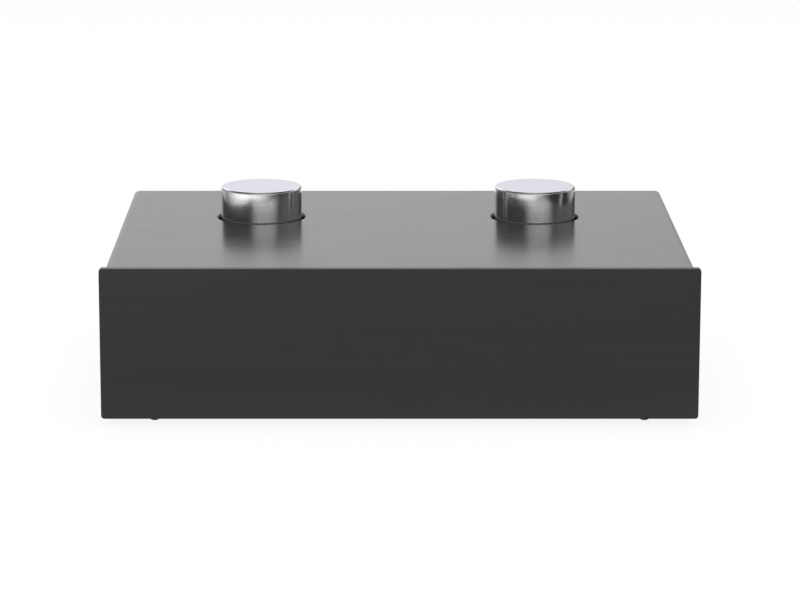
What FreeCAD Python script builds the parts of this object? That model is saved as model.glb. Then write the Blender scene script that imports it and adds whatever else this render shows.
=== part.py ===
import FreeCAD, Part
import math
import os

from FreeCAD import Placement, Rotation, Vector

# Moving coil step-up amplifier in a half-width case, in millimetres.
# X runs along the front panel to the viewer's right, Y runs back into the case, and Z is up.
# The origin is on the table, under the middle of the part's bounding box.

# Front panel, a thick flat plate
panel_width = 206.0
panel_height = 52.9
panel_thickness = 3.2
panel_corner_radius = 2.0
panel_edge_chamfer = 0.3
panel_screw_inset_x = 11.0
panel_screw_inset_z = 11.0
panel_thread_depth = 2.4

# Case: depth from the panel's face to the rear panel's outer face
case_depth = 148.0
cover_width = 202.8
cover_below_panel_top = 0.5
cover_thickness = 1.5
cover_bend_radius = 0.6
cover_fit = 0.1
cover_screw_setback = 20.0
cover_screw_rise = 7.0

# Chassis tray, folded from sheet
chassis_thickness = 1.2
chassis_bend_radius = 1.0
chassis_above_panel_foot = 0.3
side_flange_height = 12.0
rear_flange_height = 7.0
corner_relief = 2.0
clinch_nut_radius = 2.7
clinch_nut_height = 1.6
front_wall_top_gap = 1.0
sheet_corner_radius = 1.5

# Rear panel
rear_panel_thickness = 1.5
rear_screw_rise = 3.6
rear_screw_inset = 15.0

# Rubber feet, domed and cut flat below
foot_height = 2.7
foot_radius = 3.5
foot_flat_radius = 1.3
foot_rim_height = 0.9
foot_spacing_x = 171.0
front_foot_setback = 9.0
rear_foot_setback = 128.0

# M3 screws
screw_radius = 1.45
screw_head_radius = 2.7
screw_head_height = 1.5
screw_end_gap = 0.3
screw_hole_clearance = 0.25
thread_clearance = 0.05

# Circuit board on hexagonal pillars
board_side_gap = 9.8
board_depth = 80.0
board_thickness = 1.6
board_rear_gap = 0.8
board_corner_radius = 2.0
board_screw_inset = 6.0
board_screw_length = 5.0
pillar_height = 5.5
pillar_across_flats = 5.5
pillar_thread_depth = 4.2
lead_hole_clearance = 0.15
lead_stub = 1.4

# Screening cans of the two step-up transformers
can_diameter = 29.8
can_wall = 1.0
can_rim_radius = 1.0
can_above_cover = 11.5
can_spacing = 101.0
can_setback = 96.5
can_hole_gap = 1.35
inner_shield_gap = 0.3
inner_shield_wall = 0.6
base_fit = 0.05
base_flange_thickness = 1.6
base_spigot_height = 2.0
pin_circle_radius = 8.5
pin_width = 0.8
pin_count = 5

# Laminated core, upright, with the coil round its middle leg
core_width = 22.0
core_stack = 9.0
core_height = 44.0
core_middle_leg = 6.0
core_outer_leg = 3.0
core_corner_radius = 0.5
bobbin_wall = 0.8
bobbin_fit = 0.1
bobbin_flange_overhang = 0.3
winding_thickness = 3.4
winding_corner_radius = 1.6
primary_length = 11.0

# Ring clamp that holds each can to the board
clamp_fit = 0.1
clamp_thickness = 0.8
clamp_height = 9.0
clamp_slot = 3.0
clamp_ear_reach = 7.0
clamp_foot_width = 7.0
clamp_foot_reach = 9.0
clamp_foot_screw_reach = 5.2
clamp_foot_angles = (90.0, 210.0, 330.0)
pinch_nut_across_flats = 5.5
pinch_nut_height = 2.4

# Phono sockets, two in and two out
socket_axis_rise = 15.0
socket_pair_spacing = 104.0
socket_pitch = 20.0
socket_body_width = 14.0
socket_body_depth = 12.0
socket_body_top_margin = 7.5
socket_body_corner = 1.0
boss_radius = 5.6
boss_proud = 0.6
boss_clearance = 0.2
barrel_radius = 4.15
barrel_root_radius = 4.7
barrel_wall = 0.7
barrel_reach = 9.8
barrel_tip_chamfer = 0.4
barrel_ring_radius = 5.5
barrel_ring_thickness = 1.0
barrel_ring_depth = 4.0
socket_fit = 0.05
insulator_recess = 0.5
contact_radius = 2.4
contact_bore_radius = 1.65
contact_bore_depth = 15.0
contact_mouth_chamfer = 0.3
contact_end_wall = 1.6
contact_tail_width = 1.4
tail_thickness = 0.5
socket_screw_drop = 10.0
socket_screw_length = 6.0

# Earth posts with thumb nuts
post_spacing = 22.0
post_radius = 1.95
post_reach = 15.0
post_inner_reach = 9.0
post_tip_chamfer = 0.5
collar_radius = 4.4
collar_thickness = 2.0
post_hole_clearance = 0.1
washer_radius = 4.2
washer_thickness = 0.8
washer_bore_clearance = 0.1
washer_gap = 0.05
nut_radius = 4.75
nut_length = 8.0
nut_neck_radius = 3.7
nut_neck_length = 1.6
nut_bore_clearance = 0.06
nut_edge_chamfer = 0.5
nut_flute_radius = 0.8
nut_flute_depth = 0.35
nut_flute_count = 14
lock_nut_across_flats = 7.0
lock_nut_height = 3.2
lug_thickness = 0.6
lug_width = 3.0
lug_ring_radius = 3.6
lug_step = 5.0
lug_step_rise = 4.0
lug_bend_radius = 0.5

# Damping network across each secondary
network_spacing = 26.0
resistor_setback = 106.0
resistor_radius = 1.2
resistor_length = 6.3
lead_width = 0.5
resistor_pitch = 10.0
capacitor_setback = 114.0
capacitor_length = 7.2
capacitor_width = 3.0
capacitor_height = 6.5
capacitor_pitch = 5.0

# Places that follow from the sizes above
rear_reach = max(post_reach, barrel_reach)
front_y = -(case_depth + rear_reach) / 2
panel_back_y = front_y + panel_thickness
rear_face_y = front_y + case_depth
rear_inner_y = rear_face_y - rear_panel_thickness
case_bottom_z = foot_height
panel_bottom_z = case_bottom_z - chassis_above_panel_foot
panel_top_z = panel_bottom_z + panel_height
cover_top_z = panel_top_z - cover_below_panel_top
cover_inner_z = cover_top_z - cover_thickness
cover_inner_half = cover_width / 2 - cover_thickness
chassis_half = cover_inner_half - cover_fit
floor_z = case_bottom_z + chassis_thickness
rear_flange_inner_y = rear_inner_y - chassis_thickness
board_bottom_z = floor_z + pillar_height
board_top_z = board_bottom_z + board_thickness
board_half = chassis_half - board_side_gap
board_rear_y = rear_flange_inner_y - board_rear_gap
board_front_y = board_rear_y - board_depth
can_radius = can_diameter / 2
can_top_z = cover_top_z + can_above_cover
can_y = front_y + can_setback
clamp_inner_radius = can_radius + clamp_fit
clamp_outer_radius = clamp_inner_radius + clamp_thickness
clamp_screw_radius = clamp_outer_radius + clamp_foot_screw_reach
thread_radius = screw_radius + thread_clearance
screw_hole_radius = screw_radius + screw_hole_clearance
shield_outer_radius = can_radius - can_wall - inner_shield_gap
shield_inner_radius = shield_outer_radius - inner_shield_wall
base_flange_top_z = board_top_z + base_flange_thickness
core_bottom_z = base_flange_top_z + base_spigot_height
socket_z = board_top_z + socket_axis_rise
cover_screw_z = case_bottom_z + cover_screw_rise
rear_screw_z = case_bottom_z + rear_screw_rise

X_AXIS = Vector(1, 0, 0)
Y_AXIS = Vector(0, 1, 0)
Z_AXIS = Vector(0, 0, 1)
SIDES = (("left", -1), ("right", 1))


# Basic shapes

def block(low, high):
    """Box between two opposite corners."""
    size = Vector(*high) - Vector(*low)
    return Part.makeBox(size.x, size.y, size.z, Vector(*low))


def upright(centre, width, depth, low_z, high_z):
    """Box that stands centred on a point seen from above."""
    low = (centre.x - width / 2, centre.y - depth / 2, low_z)
    return block(low, (centre.x + width / 2, centre.y + depth / 2, high_z))


def rod(radius, start, axis, length):
    """Cylinder from a start point along an axis."""
    return Part.makeCylinder(radius, length, start, axis)


def turned(profile, base, axis):
    """Solid turned about an axis from (radius, height) points."""
    points = [Vector(radius, 0, height) for radius, height in profile]
    face = Part.Face(Part.makePolygon(points + points[:1]))
    solid = face.revolve(Vector(0, 0, 0), Z_AXIS, 360)
    solid.Placement = Placement(base, Rotation(Z_AXIS, axis))
    return solid


def hexagon(across_flats, base, axis, height):
    """Hexagonal prism from a base point along an axis."""
    corner_radius = across_flats / math.sqrt(3)
    angles = [math.radians(60 * step) for step in range(6)]
    points = [Vector(corner_radius * math.cos(a), corner_radius * math.sin(a), 0) for a in angles]
    prism = Part.Face(Part.makePolygon(points + points[:1])).extrude(Z_AXIS * height)
    prism.Placement = Placement(base, Rotation(Z_AXIS, axis))
    return prism


def edges_along(shape, axis):
    """Straight edges of a shape that run parallel to an axis."""
    straight = [edge for edge in shape.Edges if edge.Curve.TypeId == "Part::GeomLine"]
    return [edge for edge in straight if abs(edge.Curve.Direction.dot(axis)) > 0.999]


def fuse_all(shapes):
    """One solid from shapes that overlap or share faces."""
    return shapes[0].multiFuse(shapes[1:]).removeSplitter()


def mirror_x(shape):
    """The same shape on the other side of the part's middle plane."""
    return shape.mirror(Vector(0, 0, 0), X_AXIS)


# Folded sheet

def offset_path(points, distance, normal):
    """An open path moved sideways, to its left when it is seen against the normal."""
    lefts = []
    for start, end in zip(points, points[1:]):
        lefts.append(normal.cross(end - start).normalize())
    moved = [points[0] + lefts[0] * distance]
    for point, before, after in zip(points[1:], lefts, lefts[1:]):
        moved.append(point + (before + after) * (distance / (1 + before.dot(after))))
    moved.append(points[-1] + lefts[-1] * distance)
    return moved


def rounded_path(points, radii):
    """Lines along a path, with an arc of the given radius at each inner corner."""
    edges = []
    start = points[0]
    for before, corner, after, radius in zip(points, points[1:], points[2:], radii):
        back = (before - corner).normalize()
        ahead = (after - corner).normalize()
        half_angle = back.getAngle(ahead) / 2
        reach = radius / math.tan(half_angle)
        centre = corner + (back + ahead).normalize() * (radius / math.sin(half_angle))
        middle = centre + (corner - centre).normalize() * radius
        edges.append(Part.makeLine(start, corner + back * reach))
        edges.append(Part.Arc(corner + back * reach, middle, corner + ahead * reach).toShape())
        start = corner + ahead * reach
    edges.append(Part.makeLine(start, points[-1]))
    return edges


def bent_sheet(points, thickness, inside_radius, normal, width):
    """Sheet folded along a path: thickness to the path's left, swept along the normal."""
    near_radii = []
    far_radii = []
    for before, corner, after in zip(points, points[1:], points[2:]):
        turns_left = (corner - before).cross(after - corner).dot(normal) > 0
        near_radii.append(inside_radius + thickness if turns_left else inside_radius)
        far_radii.append(inside_radius if turns_left else inside_radius + thickness)
    far_points = offset_path(points, thickness, normal)
    edges = rounded_path(points, near_radii)
    edges.append(Part.makeLine(points[-1], far_points[-1]))
    edges += rounded_path(far_points, far_radii)
    edges.append(Part.makeLine(far_points[0], points[0]))
    wire = Part.Wire(Part.__sortEdges__(edges))
    return Part.Face(wire).extrude(normal * width)


# Screws

def screw(seat, outward, length):
    """Cheese-head screw: its head stands on the seat and its shank runs the other way."""
    profile = [
        (0, -length),
        (screw_radius, -length),
        (screw_radius, 0),
        (screw_head_radius, 0),
        (screw_head_radius, screw_head_height),
        (0, screw_head_height),
    ]
    return turned(profile, seat, outward)


# Front panel

def panel_screw_points(y):
    """The four screw places behind the front panel, at a given depth."""
    places = []
    for x in (-1, 1):
        for z in (panel_bottom_z + panel_screw_inset_z, panel_top_z - panel_screw_inset_z):
            places.append(Vector(x * (chassis_half - panel_screw_inset_x), y, z))
    return places


def front_panel():
    """Plate with rounded corners, a broken front edge and blind threads in its back."""
    half = panel_width / 2
    plate = block((-half, front_y, panel_bottom_z), (half, panel_back_y, panel_top_z))
    plate = plate.makeFillet(panel_corner_radius, edges_along(plate, Y_AXIS))
    front_edges = [edge for edge in plate.Edges if abs(edge.BoundBox.YMax - front_y) < 0.001]
    plate = plate.makeChamfer(panel_edge_chamfer, front_edges)
    for point in panel_screw_points(panel_back_y - panel_thread_depth):
        plate = plate.cut(rod(thread_radius, point, Y_AXIS, panel_thread_depth))
    return plate


def front_panel_screws():
    """Screws through the tray's front wall into the front panel."""
    length = chassis_thickness + panel_thread_depth - screw_end_gap
    seats = panel_screw_points(panel_back_y + chassis_thickness)
    return [screw(seat, Y_AXIS, length) for seat in seats]


# Chassis tray and cover

def cover_screw_depths():
    """Y of the cover's screws, near its front and near its back."""
    return (panel_back_y + cover_screw_setback, rear_face_y - cover_screw_setback)


def rear_screw_points(y):
    """The three screws that hold the rear panel to the tray's rear flange."""
    reach = chassis_half - rear_screw_inset
    return [Vector(step * reach, y, rear_screw_z) for step in (-1, 0, 1)]


def round_upper_corners(shape):
    """Round a wall's two top corners, seen from the front."""
    top_z = shape.BoundBox.ZMax
    corners = [edge for edge in edges_along(shape, Y_AXIS) if edge.BoundBox.ZMin > top_z - 0.001]
    ends = [edge for edge in corners if abs(abs(edge.BoundBox.Center.x) - chassis_half) < 0.001]
    return shape.makeFillet(sheet_corner_radius, ends)


def clinch_nut(base, inward):
    """Short round nut pressed into the sheet, on its inner face."""
    return rod(clinch_nut_radius, base, inward, clinch_nut_height)


def chassis_tray():
    """Floor with a full front wall, low side flanges and a low rear flange, one folded sheet."""
    wall_top_z = cover_inner_z - front_wall_top_gap
    spine = [
        Vector(-chassis_half, panel_back_y, wall_top_z),
        Vector(-chassis_half, panel_back_y, case_bottom_z),
        Vector(-chassis_half, rear_inner_y, case_bottom_z),
        Vector(-chassis_half, rear_inner_y, case_bottom_z + rear_flange_height),
    ]
    tray = bent_sheet(spine, chassis_thickness, chassis_bend_radius, X_AXIS, 2 * chassis_half)
    tray = round_upper_corners(tray)

    bend = chassis_bend_radius + chassis_thickness
    notch_front_y = panel_back_y + bend
    notch_rear_y = rear_inner_y - bend
    flange_front_y = notch_front_y + corner_relief
    flange_rear_y = notch_rear_y - corner_relief
    strip = block(
        (chassis_half - bend, notch_front_y, case_bottom_z - 1),
        (chassis_half + 1, notch_rear_y, floor_z + 1),
    )
    tray = tray.cut([strip, mirror_x(strip)])

    leg = [
        Vector(chassis_half - 2 * bend, flange_rear_y, case_bottom_z),
        Vector(chassis_half, flange_rear_y, case_bottom_z),
        Vector(chassis_half, flange_rear_y, case_bottom_z + side_flange_height),
    ]
    flange_length = flange_rear_y - flange_front_y
    flange = bent_sheet(leg, chassis_thickness, chassis_bend_radius, -Y_AXIS, flange_length)
    nuts = []
    threads = []
    for y in cover_screw_depths():
        inner_face = Vector(chassis_half - chassis_thickness, y, cover_screw_z)
        nuts.append(clinch_nut(inner_face, -X_AXIS))
        depth = chassis_thickness + clinch_nut_height
        threads.append(rod(thread_radius, inner_face + X_AXIS * chassis_thickness, -X_AXIS, depth))
    rear_nuts = [clinch_nut(point, -Y_AXIS) for point in rear_screw_points(rear_flange_inner_y)]
    tray = fuse_all([tray, flange, mirror_x(flange)] + nuts + [mirror_x(nut) for nut in nuts] + rear_nuts)

    holes = threads + [mirror_x(thread) for thread in threads]
    rear_depth = chassis_thickness + clinch_nut_height
    for point in rear_screw_points(rear_inner_y):
        holes.append(rod(thread_radius, point, -Y_AXIS, rear_depth))
    for point in panel_screw_points(panel_back_y):
        holes.append(rod(screw_hole_radius, point, Y_AXIS, chassis_thickness))
    return tray.cut(holes)


def top_cover():
    """Folded sheet over the top and both sides, with a round hole over each can."""
    half = cover_width / 2
    path = [
        Vector(-half, panel_back_y, case_bottom_z),
        Vector(-half, panel_back_y, cover_top_z),
        Vector(half, panel_back_y, cover_top_z),
        Vector(half, panel_back_y, case_bottom_z),
    ]
    length = rear_face_y - panel_back_y
    cover = bent_sheet(path, cover_thickness, cover_bend_radius, Y_AXIS, length)
    holes = []
    for side_name, side in SIDES:
        centre = Vector(side * can_spacing / 2, can_y, cover_inner_z)
        holes.append(rod(can_radius + can_hole_gap, centre, Z_AXIS, cover_thickness))
        for y in cover_screw_depths():
            start = Vector(side * cover_inner_half, y, cover_screw_z)
            holes.append(rod(screw_hole_radius, start, X_AXIS * side, cover_thickness))
    return cover.cut(holes)


def cover_screws():
    """Two screws through each side of the cover into the tray's side flanges."""
    length = cover_thickness + cover_fit + chassis_thickness + clinch_nut_height
    screws = []
    for side_name, side in SIDES:
        for y in cover_screw_depths():
            seat = Vector(side * cover_width / 2, y, cover_screw_z)
            screws.append(screw(seat, X_AXIS * side, length))
    return screws


def rear_panel():
    """Flat plate that closes the back, with a hole for each socket, post and screw."""
    low = (-chassis_half, rear_inner_y, case_bottom_z)
    high = (chassis_half, rear_face_y, cover_inner_z - cover_fit)
    plate = round_upper_corners(block(low, high))
    holes = []
    for name, x in socket_places():
        start = Vector(x, rear_inner_y, socket_z)
        holes.append(rod(boss_radius + boss_clearance, start, Y_AXIS, rear_panel_thickness))
        start = Vector(x, rear_inner_y, socket_z - socket_screw_drop)
        holes.append(rod(screw_hole_radius, start, Y_AXIS, rear_panel_thickness))
    for name, x in post_places():
        start = Vector(x, rear_inner_y, socket_z)
        holes.append(rod(post_radius + post_hole_clearance, start, Y_AXIS, rear_panel_thickness))
    for point in rear_screw_points(rear_inner_y):
        holes.append(rod(screw_hole_radius, point, Y_AXIS, rear_panel_thickness))
    return plate.cut(holes)


def rear_panel_screws():
    """Screws along the rear panel's lower edge."""
    length = rear_panel_thickness + chassis_thickness + clinch_nut_height
    return [screw(seat, Y_AXIS, length) for seat in rear_screw_points(rear_face_y)]


def rubber_feet():
    """Domed bumpers stuck under the floor, each with a small flat to stand on."""
    rim_z = foot_height - foot_rim_height
    sphere_z = (foot_radius ** 2 + rim_z ** 2 - foot_flat_radius ** 2) / (2 * rim_z)
    sphere_radius = math.hypot(foot_flat_radius, sphere_z)
    feet = []
    for side_name, side in SIDES:
        for setback in (front_foot_setback, rear_foot_setback):
            place = Vector(side * foot_spacing_x / 2, front_y + setback, 0)
            pad = rod(foot_radius, place, Z_AXIS, foot_height)
            ball = Part.makeSphere(sphere_radius, place + Z_AXIS * sphere_z)
            feet.append(pad.common(ball))
    return feet


# Circuit board and its pillars

def board_screw_places():
    """X and Y of the screws in the board's four corners."""
    x = board_half - board_screw_inset
    depths = (board_front_y + board_screw_inset, board_rear_y - board_screw_inset)
    return [(side * x, y) for side in (-1, 1) for y in depths]


def clamp_screw_places(side):
    """X and Y of the three screws in the feet of one can's clamp."""
    places = []
    for angle in clamp_foot_angles:
        x = side * can_spacing / 2 + clamp_screw_radius * math.cos(math.radians(angle))
        places.append((x, can_y + clamp_screw_radius * math.sin(math.radians(angle))))
    return places


def pillar_places():
    """X and Y of every pillar under the board."""
    return board_screw_places() + clamp_screw_places(-1) + clamp_screw_places(1)


def pin_places(side):
    """X and Y of one transformer's pins, on a circle with one place left out as a key."""
    places = []
    for step in range(pin_count):
        angle = math.radians(90 + 360 * (step + 1) / (pin_count + 1))
        x = side * can_spacing / 2 + pin_circle_radius * math.cos(angle)
        places.append((x, can_y + pin_circle_radius * math.sin(angle)))
    return places


def board_leads():
    """X, Y, width and depth of each pin, lead and tail that goes through the board."""
    leads = []
    for side_name, side in SIDES:
        leads += [(x, y, pin_width, pin_width) for x, y in pin_places(side)]
        x = side * network_spacing / 2
        for pitch, setback in ((resistor_pitch, resistor_setback), (capacitor_pitch, capacitor_setback)):
            y = front_y + setback
            leads.append((x - pitch / 2, y, lead_width, lead_width))
            leads.append((x + pitch / 2, y, lead_width, lead_width))
    for name, x in socket_places():
        leads.append((x, contact_tail_y(), contact_tail_width, tail_thickness))
        leads.append((x, barrel_tail_y(), contact_tail_width, tail_thickness))
    for name, x in post_places():
        leads.append((x, lug_end_y(), lug_width / 2, lug_thickness))
    return leads


def circuit_board():
    """Board with rounded corners, a hole for each screw and a slot for each pin and lead."""
    low = (-board_half, board_front_y, board_bottom_z)
    board = block(low, (board_half, board_rear_y, board_top_z))
    board = board.makeFillet(board_corner_radius, edges_along(board, Z_AXIS))
    holes = []
    for x, y in pillar_places():
        start = Vector(x, y, board_bottom_z)
        holes.append(rod(screw_hole_radius, start, Z_AXIS, board_thickness))
    for x, y, width, depth in board_leads():
        margin = 2 * lead_hole_clearance
        place = Vector(x, y, 0)
        holes.append(upright(place, width + margin, depth + margin, board_bottom_z, board_top_z))
    return board.cut(holes)


def board_standoffs():
    """Hexagonal pillars on the floor, each with a thread in its top."""
    pillars = []
    for x, y in pillar_places():
        pillar = hexagon(pillar_across_flats, Vector(x, y, floor_z), Z_AXIS, pillar_height)
        thread = Vector(x, y, board_bottom_z - pillar_thread_depth)
        pillars.append(pillar.cut(rod(thread_radius, thread, Z_AXIS, pillar_thread_depth)))
    return pillars


def board_screws():
    """Screws through the corners of the board into its own pillars."""
    places = board_screw_places()
    return [screw(Vector(x, y, board_top_z), Z_AXIS, board_screw_length) for x, y in places]


def damping_resistors():
    """One resistor a channel, lying on the board with its leads bent down through it."""
    resistors = []
    y = front_y + resistor_setback
    z = board_top_z + resistor_radius
    for side_name, side in SIDES:
        x = side * network_spacing / 2
        body = rod(resistor_radius, Vector(x - resistor_length / 2, y, z), X_AXIS, resistor_length)
        shapes = [body]
        wire = lead_width / 2
        for end in (-1, 1):
            bend = Vector(x + end * resistor_pitch / 2, y, 0)
            shapes.append(upright(bend, lead_width, lead_width, board_bottom_z - lead_stub, z + wire))
            middle = Vector(x + end * resistor_pitch / 4, y, 0)
            shapes.append(upright(middle, resistor_pitch / 2, lead_width, z - wire, z + wire))
        resistors.append(fuse_all(shapes))
    return resistors


def damping_capacitors():
    """One box film capacitor a channel, standing on the board."""
    capacitors = []
    y = front_y + capacitor_setback
    for side_name, side in SIDES:
        x = side * network_spacing / 2
        low = (x - capacitor_length / 2, y - capacitor_width / 2, board_top_z)
        high = (x + capacitor_length / 2, y + capacitor_width / 2, board_top_z + capacitor_height)
        shapes = [block(low, high)]
        for offset in (-capacitor_pitch / 2, capacitor_pitch / 2):
            place = Vector(x + offset, y, 0)
            shapes.append(upright(place, lead_width, lead_width, board_bottom_z - lead_stub, board_top_z))
        capacitors.append(fuse_all(shapes))
    return capacitors


# Transformers

def cup(outer_radius, wall, bottom_z, top_z, centre):
    """Deep-drawn cup, open below, with a flat top."""
    inner_radius = outer_radius - wall
    profile = [
        (0, top_z),
        (outer_radius, top_z),
        (outer_radius, bottom_z),
        (inner_radius, bottom_z),
        (inner_radius, top_z - wall),
        (0, top_z - wall),
    ]
    return turned(profile, centre, Z_AXIS)


def transformer_can(centre):
    """Polished outer can with a rounded rim, standing on the board and up through the cover."""
    can = cup(can_radius, can_wall, board_top_z, can_top_z, centre)
    rim = [edge for edge in can.Edges if edge.BoundBox.ZMin > can_top_z - 0.001]
    rim = [edge for edge in rim if edge.BoundBox.XLength > can_radius]
    return can.makeFillet(can_rim_radius, rim)


def inner_shield(centre):
    """Second cup inside the can, standing on the base's flange."""
    top_z = can_top_z - can_wall - inner_shield_gap
    return cup(shield_outer_radius, inner_shield_wall, base_flange_top_z, top_z, centre)


def transformer_base(centre, side):
    """Stepped disc that closes the can and the shield, with a hole for each pin."""
    flange_radius = can_radius - can_wall - base_fit
    spigot_radius = shield_inner_radius - base_fit
    profile = [
        (0, board_top_z),
        (flange_radius, board_top_z),
        (flange_radius, base_flange_top_z),
        (spigot_radius, base_flange_top_z),
        (spigot_radius, core_bottom_z),
        (0, core_bottom_z),
    ]
    base = turned(profile, centre, Z_AXIS)
    hole = pin_width + 2 * base_fit
    places = [Vector(x, y, 0) for x, y in pin_places(side)]
    return base.cut([upright(place, hole, hole, board_top_z, core_bottom_z) for place in places])


def transformer_pins(side):
    """Pins through the base and the board."""
    low_z = board_bottom_z - lead_stub
    places = [Vector(x, y, 0) for x, y in pin_places(side)]
    return [upright(place, pin_width, pin_width, low_z, core_bottom_z) for place in places]


def core_window_width():
    """Width of each of the core's two windows."""
    return (core_width - core_middle_leg) / 2 - core_outer_leg


def transformer_core(centre):
    """Stack of laminations with a middle leg between two windows."""
    top_z = core_bottom_z + core_height
    core = upright(centre, core_width, core_stack, core_bottom_z, top_z)
    core = core.makeFillet(core_corner_radius, edges_along(core, Y_AXIS))
    window = core_window_width()
    for side in (-1, 1):
        middle = centre + X_AXIS * side * (core_middle_leg + window) / 2
        low_z = core_bottom_z + core_outer_leg
        core = core.cut(upright(middle, window, core_stack + 2, low_z, top_z - core_outer_leg))
    return core


def bobbin_tube_size():
    """Outer width and depth of the bobbin's tube, round the middle leg."""
    growth = 2 * (bobbin_fit + bobbin_wall)
    return core_middle_leg + growth, core_stack + growth


def bobbin_levels():
    """Low and high Z of the bobbin, and of its primary chamber in the middle."""
    low_z = core_bottom_z + core_outer_leg + bobbin_fit
    high_z = core_bottom_z + core_height - core_outer_leg - bobbin_fit
    middle_z = (low_z + high_z) / 2
    return low_z, high_z, middle_z - primary_length / 2, middle_z + primary_length / 2


def coil_size(margin):
    """Outer width and depth of the coil, with a margin all round."""
    tube_width, tube_depth = bobbin_tube_size()
    growth = 2 * (winding_thickness + margin)
    return tube_width + growth, tube_depth + growth


def transformer_bobbin(centre):
    """Tube with four flanges: a primary chamber between two secondary chambers."""
    low_z, high_z, primary_low, primary_high = bobbin_levels()
    width, depth = bobbin_tube_size()
    shapes = [upright(centre, width, depth, low_z, high_z)]
    flange_width, flange_depth = coil_size(bobbin_flange_overhang)
    flange_bottoms = (low_z, primary_low - bobbin_wall, primary_high, high_z - bobbin_wall)
    for z in flange_bottoms:
        flange = upright(centre, flange_width, flange_depth, z, z + bobbin_wall)
        corners = edges_along(flange, Z_AXIS)
        shapes.append(flange.makeFillet(winding_corner_radius, corners))
    bore_width = core_middle_leg + 2 * bobbin_fit
    bore_depth = core_stack + 2 * bobbin_fit
    return fuse_all(shapes).cut(upright(centre, bore_width, bore_depth, low_z - 1, high_z + 1))


def winding(centre, low_z, high_z):
    """Wound ring between two flanges of the bobbin, with rounded corners."""
    coil = upright(centre, *coil_size(0), low_z, high_z)
    coil = coil.makeFillet(winding_corner_radius, edges_along(coil, Z_AXIS))
    return coil.cut(upright(centre, *bobbin_tube_size(), low_z - 1, high_z + 1))


def primary_winding(centre):
    """Few thick turns, in the middle chamber."""
    low_z, high_z, primary_low, primary_high = bobbin_levels()
    return winding(centre, primary_low, primary_high)


def secondary_winding(centre):
    """Many thin turns, in two halves above and below the primary."""
    low_z, high_z, primary_low, primary_high = bobbin_levels()
    lower = winding(centre, low_z + bobbin_wall, primary_low - bobbin_wall)
    upper = winding(centre, primary_high + bobbin_wall, high_z - bobbin_wall)
    return [lower, upper]


# Ring clamps

def can_clamp(centre):
    """Split band round the can, with two pinch ears in front and three feet on the board."""
    top_z = board_top_z + clamp_height
    start = centre + Z_AXIS * board_top_z
    shapes = [rod(clamp_outer_radius, start, Z_AXIS, clamp_height)]
    ear_width = clamp_slot + 2 * clamp_thickness
    ear_low = (centre.x - ear_width / 2, centre.y - clamp_outer_radius - clamp_ear_reach, board_top_z)
    shapes.append(block(ear_low, (centre.x + ear_width / 2, centre.y, top_z)))
    for angle in clamp_foot_angles:
        foot_end = clamp_outer_radius + clamp_foot_reach
        foot_top_z = board_top_z + clamp_thickness
        foot = block((0, -clamp_foot_width / 2, board_top_z),
                     (foot_end, clamp_foot_width / 2, foot_top_z))
        ends = [edge for edge in edges_along(foot, Z_AXIS) if edge.BoundBox.XMin > foot_end - 0.001]
        foot = foot.makeFillet(clamp_foot_width / 3, ends)
        hole = Vector(clamp_screw_radius, 0, board_top_z)
        foot = foot.cut(rod(screw_hole_radius, hole, Z_AXIS, clamp_thickness))
        foot.Placement = Placement(centre, Rotation(Z_AXIS, angle))
        shapes.append(foot)
    clamp = fuse_all(shapes)
    slot_low = (centre.x - clamp_slot / 2, ear_low[1] - 1, board_top_z)
    slot = block(slot_low, (centre.x + clamp_slot / 2, centre.y, top_z))
    bore = rod(clamp_inner_radius, start, Z_AXIS, clamp_height)
    pinch = rod(screw_hole_radius, pinch_point(centre) - X_AXIS * ear_width, X_AXIS, 2 * ear_width)
    return clamp.cut([slot, bore, pinch])


def pinch_point(centre):
    """Middle of the pinch screw, between the clamp's ears."""
    y = centre.y - clamp_outer_radius - clamp_ear_reach / 2
    return Vector(centre.x, y, board_top_z + clamp_height / 2)


def can_clamp_screws(centre, side):
    """Three foot screws, and the pinch screw with its nut."""
    length = clamp_thickness + board_screw_length
    foot_z = board_top_z + clamp_thickness
    pieces = [screw(Vector(x, y, foot_z), Z_AXIS, length) for x, y in clamp_screw_places(side)]
    ear_half = clamp_slot / 2 + clamp_thickness
    middle = pinch_point(centre)
    seat = middle + X_AXIS * ear_half
    pinch_length = 2 * ear_half + pinch_nut_height + 1
    pieces.append(screw(seat, X_AXIS, pinch_length))
    nut_base = middle - X_AXIS * (ear_half + pinch_nut_height)
    nut = hexagon(pinch_nut_across_flats, nut_base, X_AXIS, pinch_nut_height)
    pieces.append(nut.cut(rod(thread_radius, nut_base, X_AXIS, pinch_nut_height)))
    return pieces


# Phono sockets

def socket_places():
    """Name and X of each socket: inputs on the right seen from the front, outputs on the left."""
    places = []
    for group, group_side in (("input", 1), ("output", -1)):
        for channel, side in SIDES:
            x = group_side * socket_pair_spacing / 2 - side * socket_pitch / 2
            places.append((group + "_" + channel, x))
    return places


def contact_back_y():
    """Back of the centre contact, where its tail is."""
    return rear_face_y + barrel_reach - insulator_recess - contact_bore_depth - contact_end_wall


def contact_tail_y():
    """Middle of the contact's tail, behind the socket's body."""
    behind_body = rear_inner_y - socket_body_depth - socket_fit
    return min(behind_body, contact_back_y()) - tail_thickness / 2


def barrel_ring_y():
    """Outer face of the barrel's retaining ring, sunk in the back of the body."""
    return rear_inner_y - socket_body_depth + barrel_ring_depth + barrel_ring_thickness


def barrel_tail_y():
    """Middle of the barrel's tail, in a groove of the body."""
    return barrel_ring_y() - barrel_ring_thickness / 2


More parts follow.
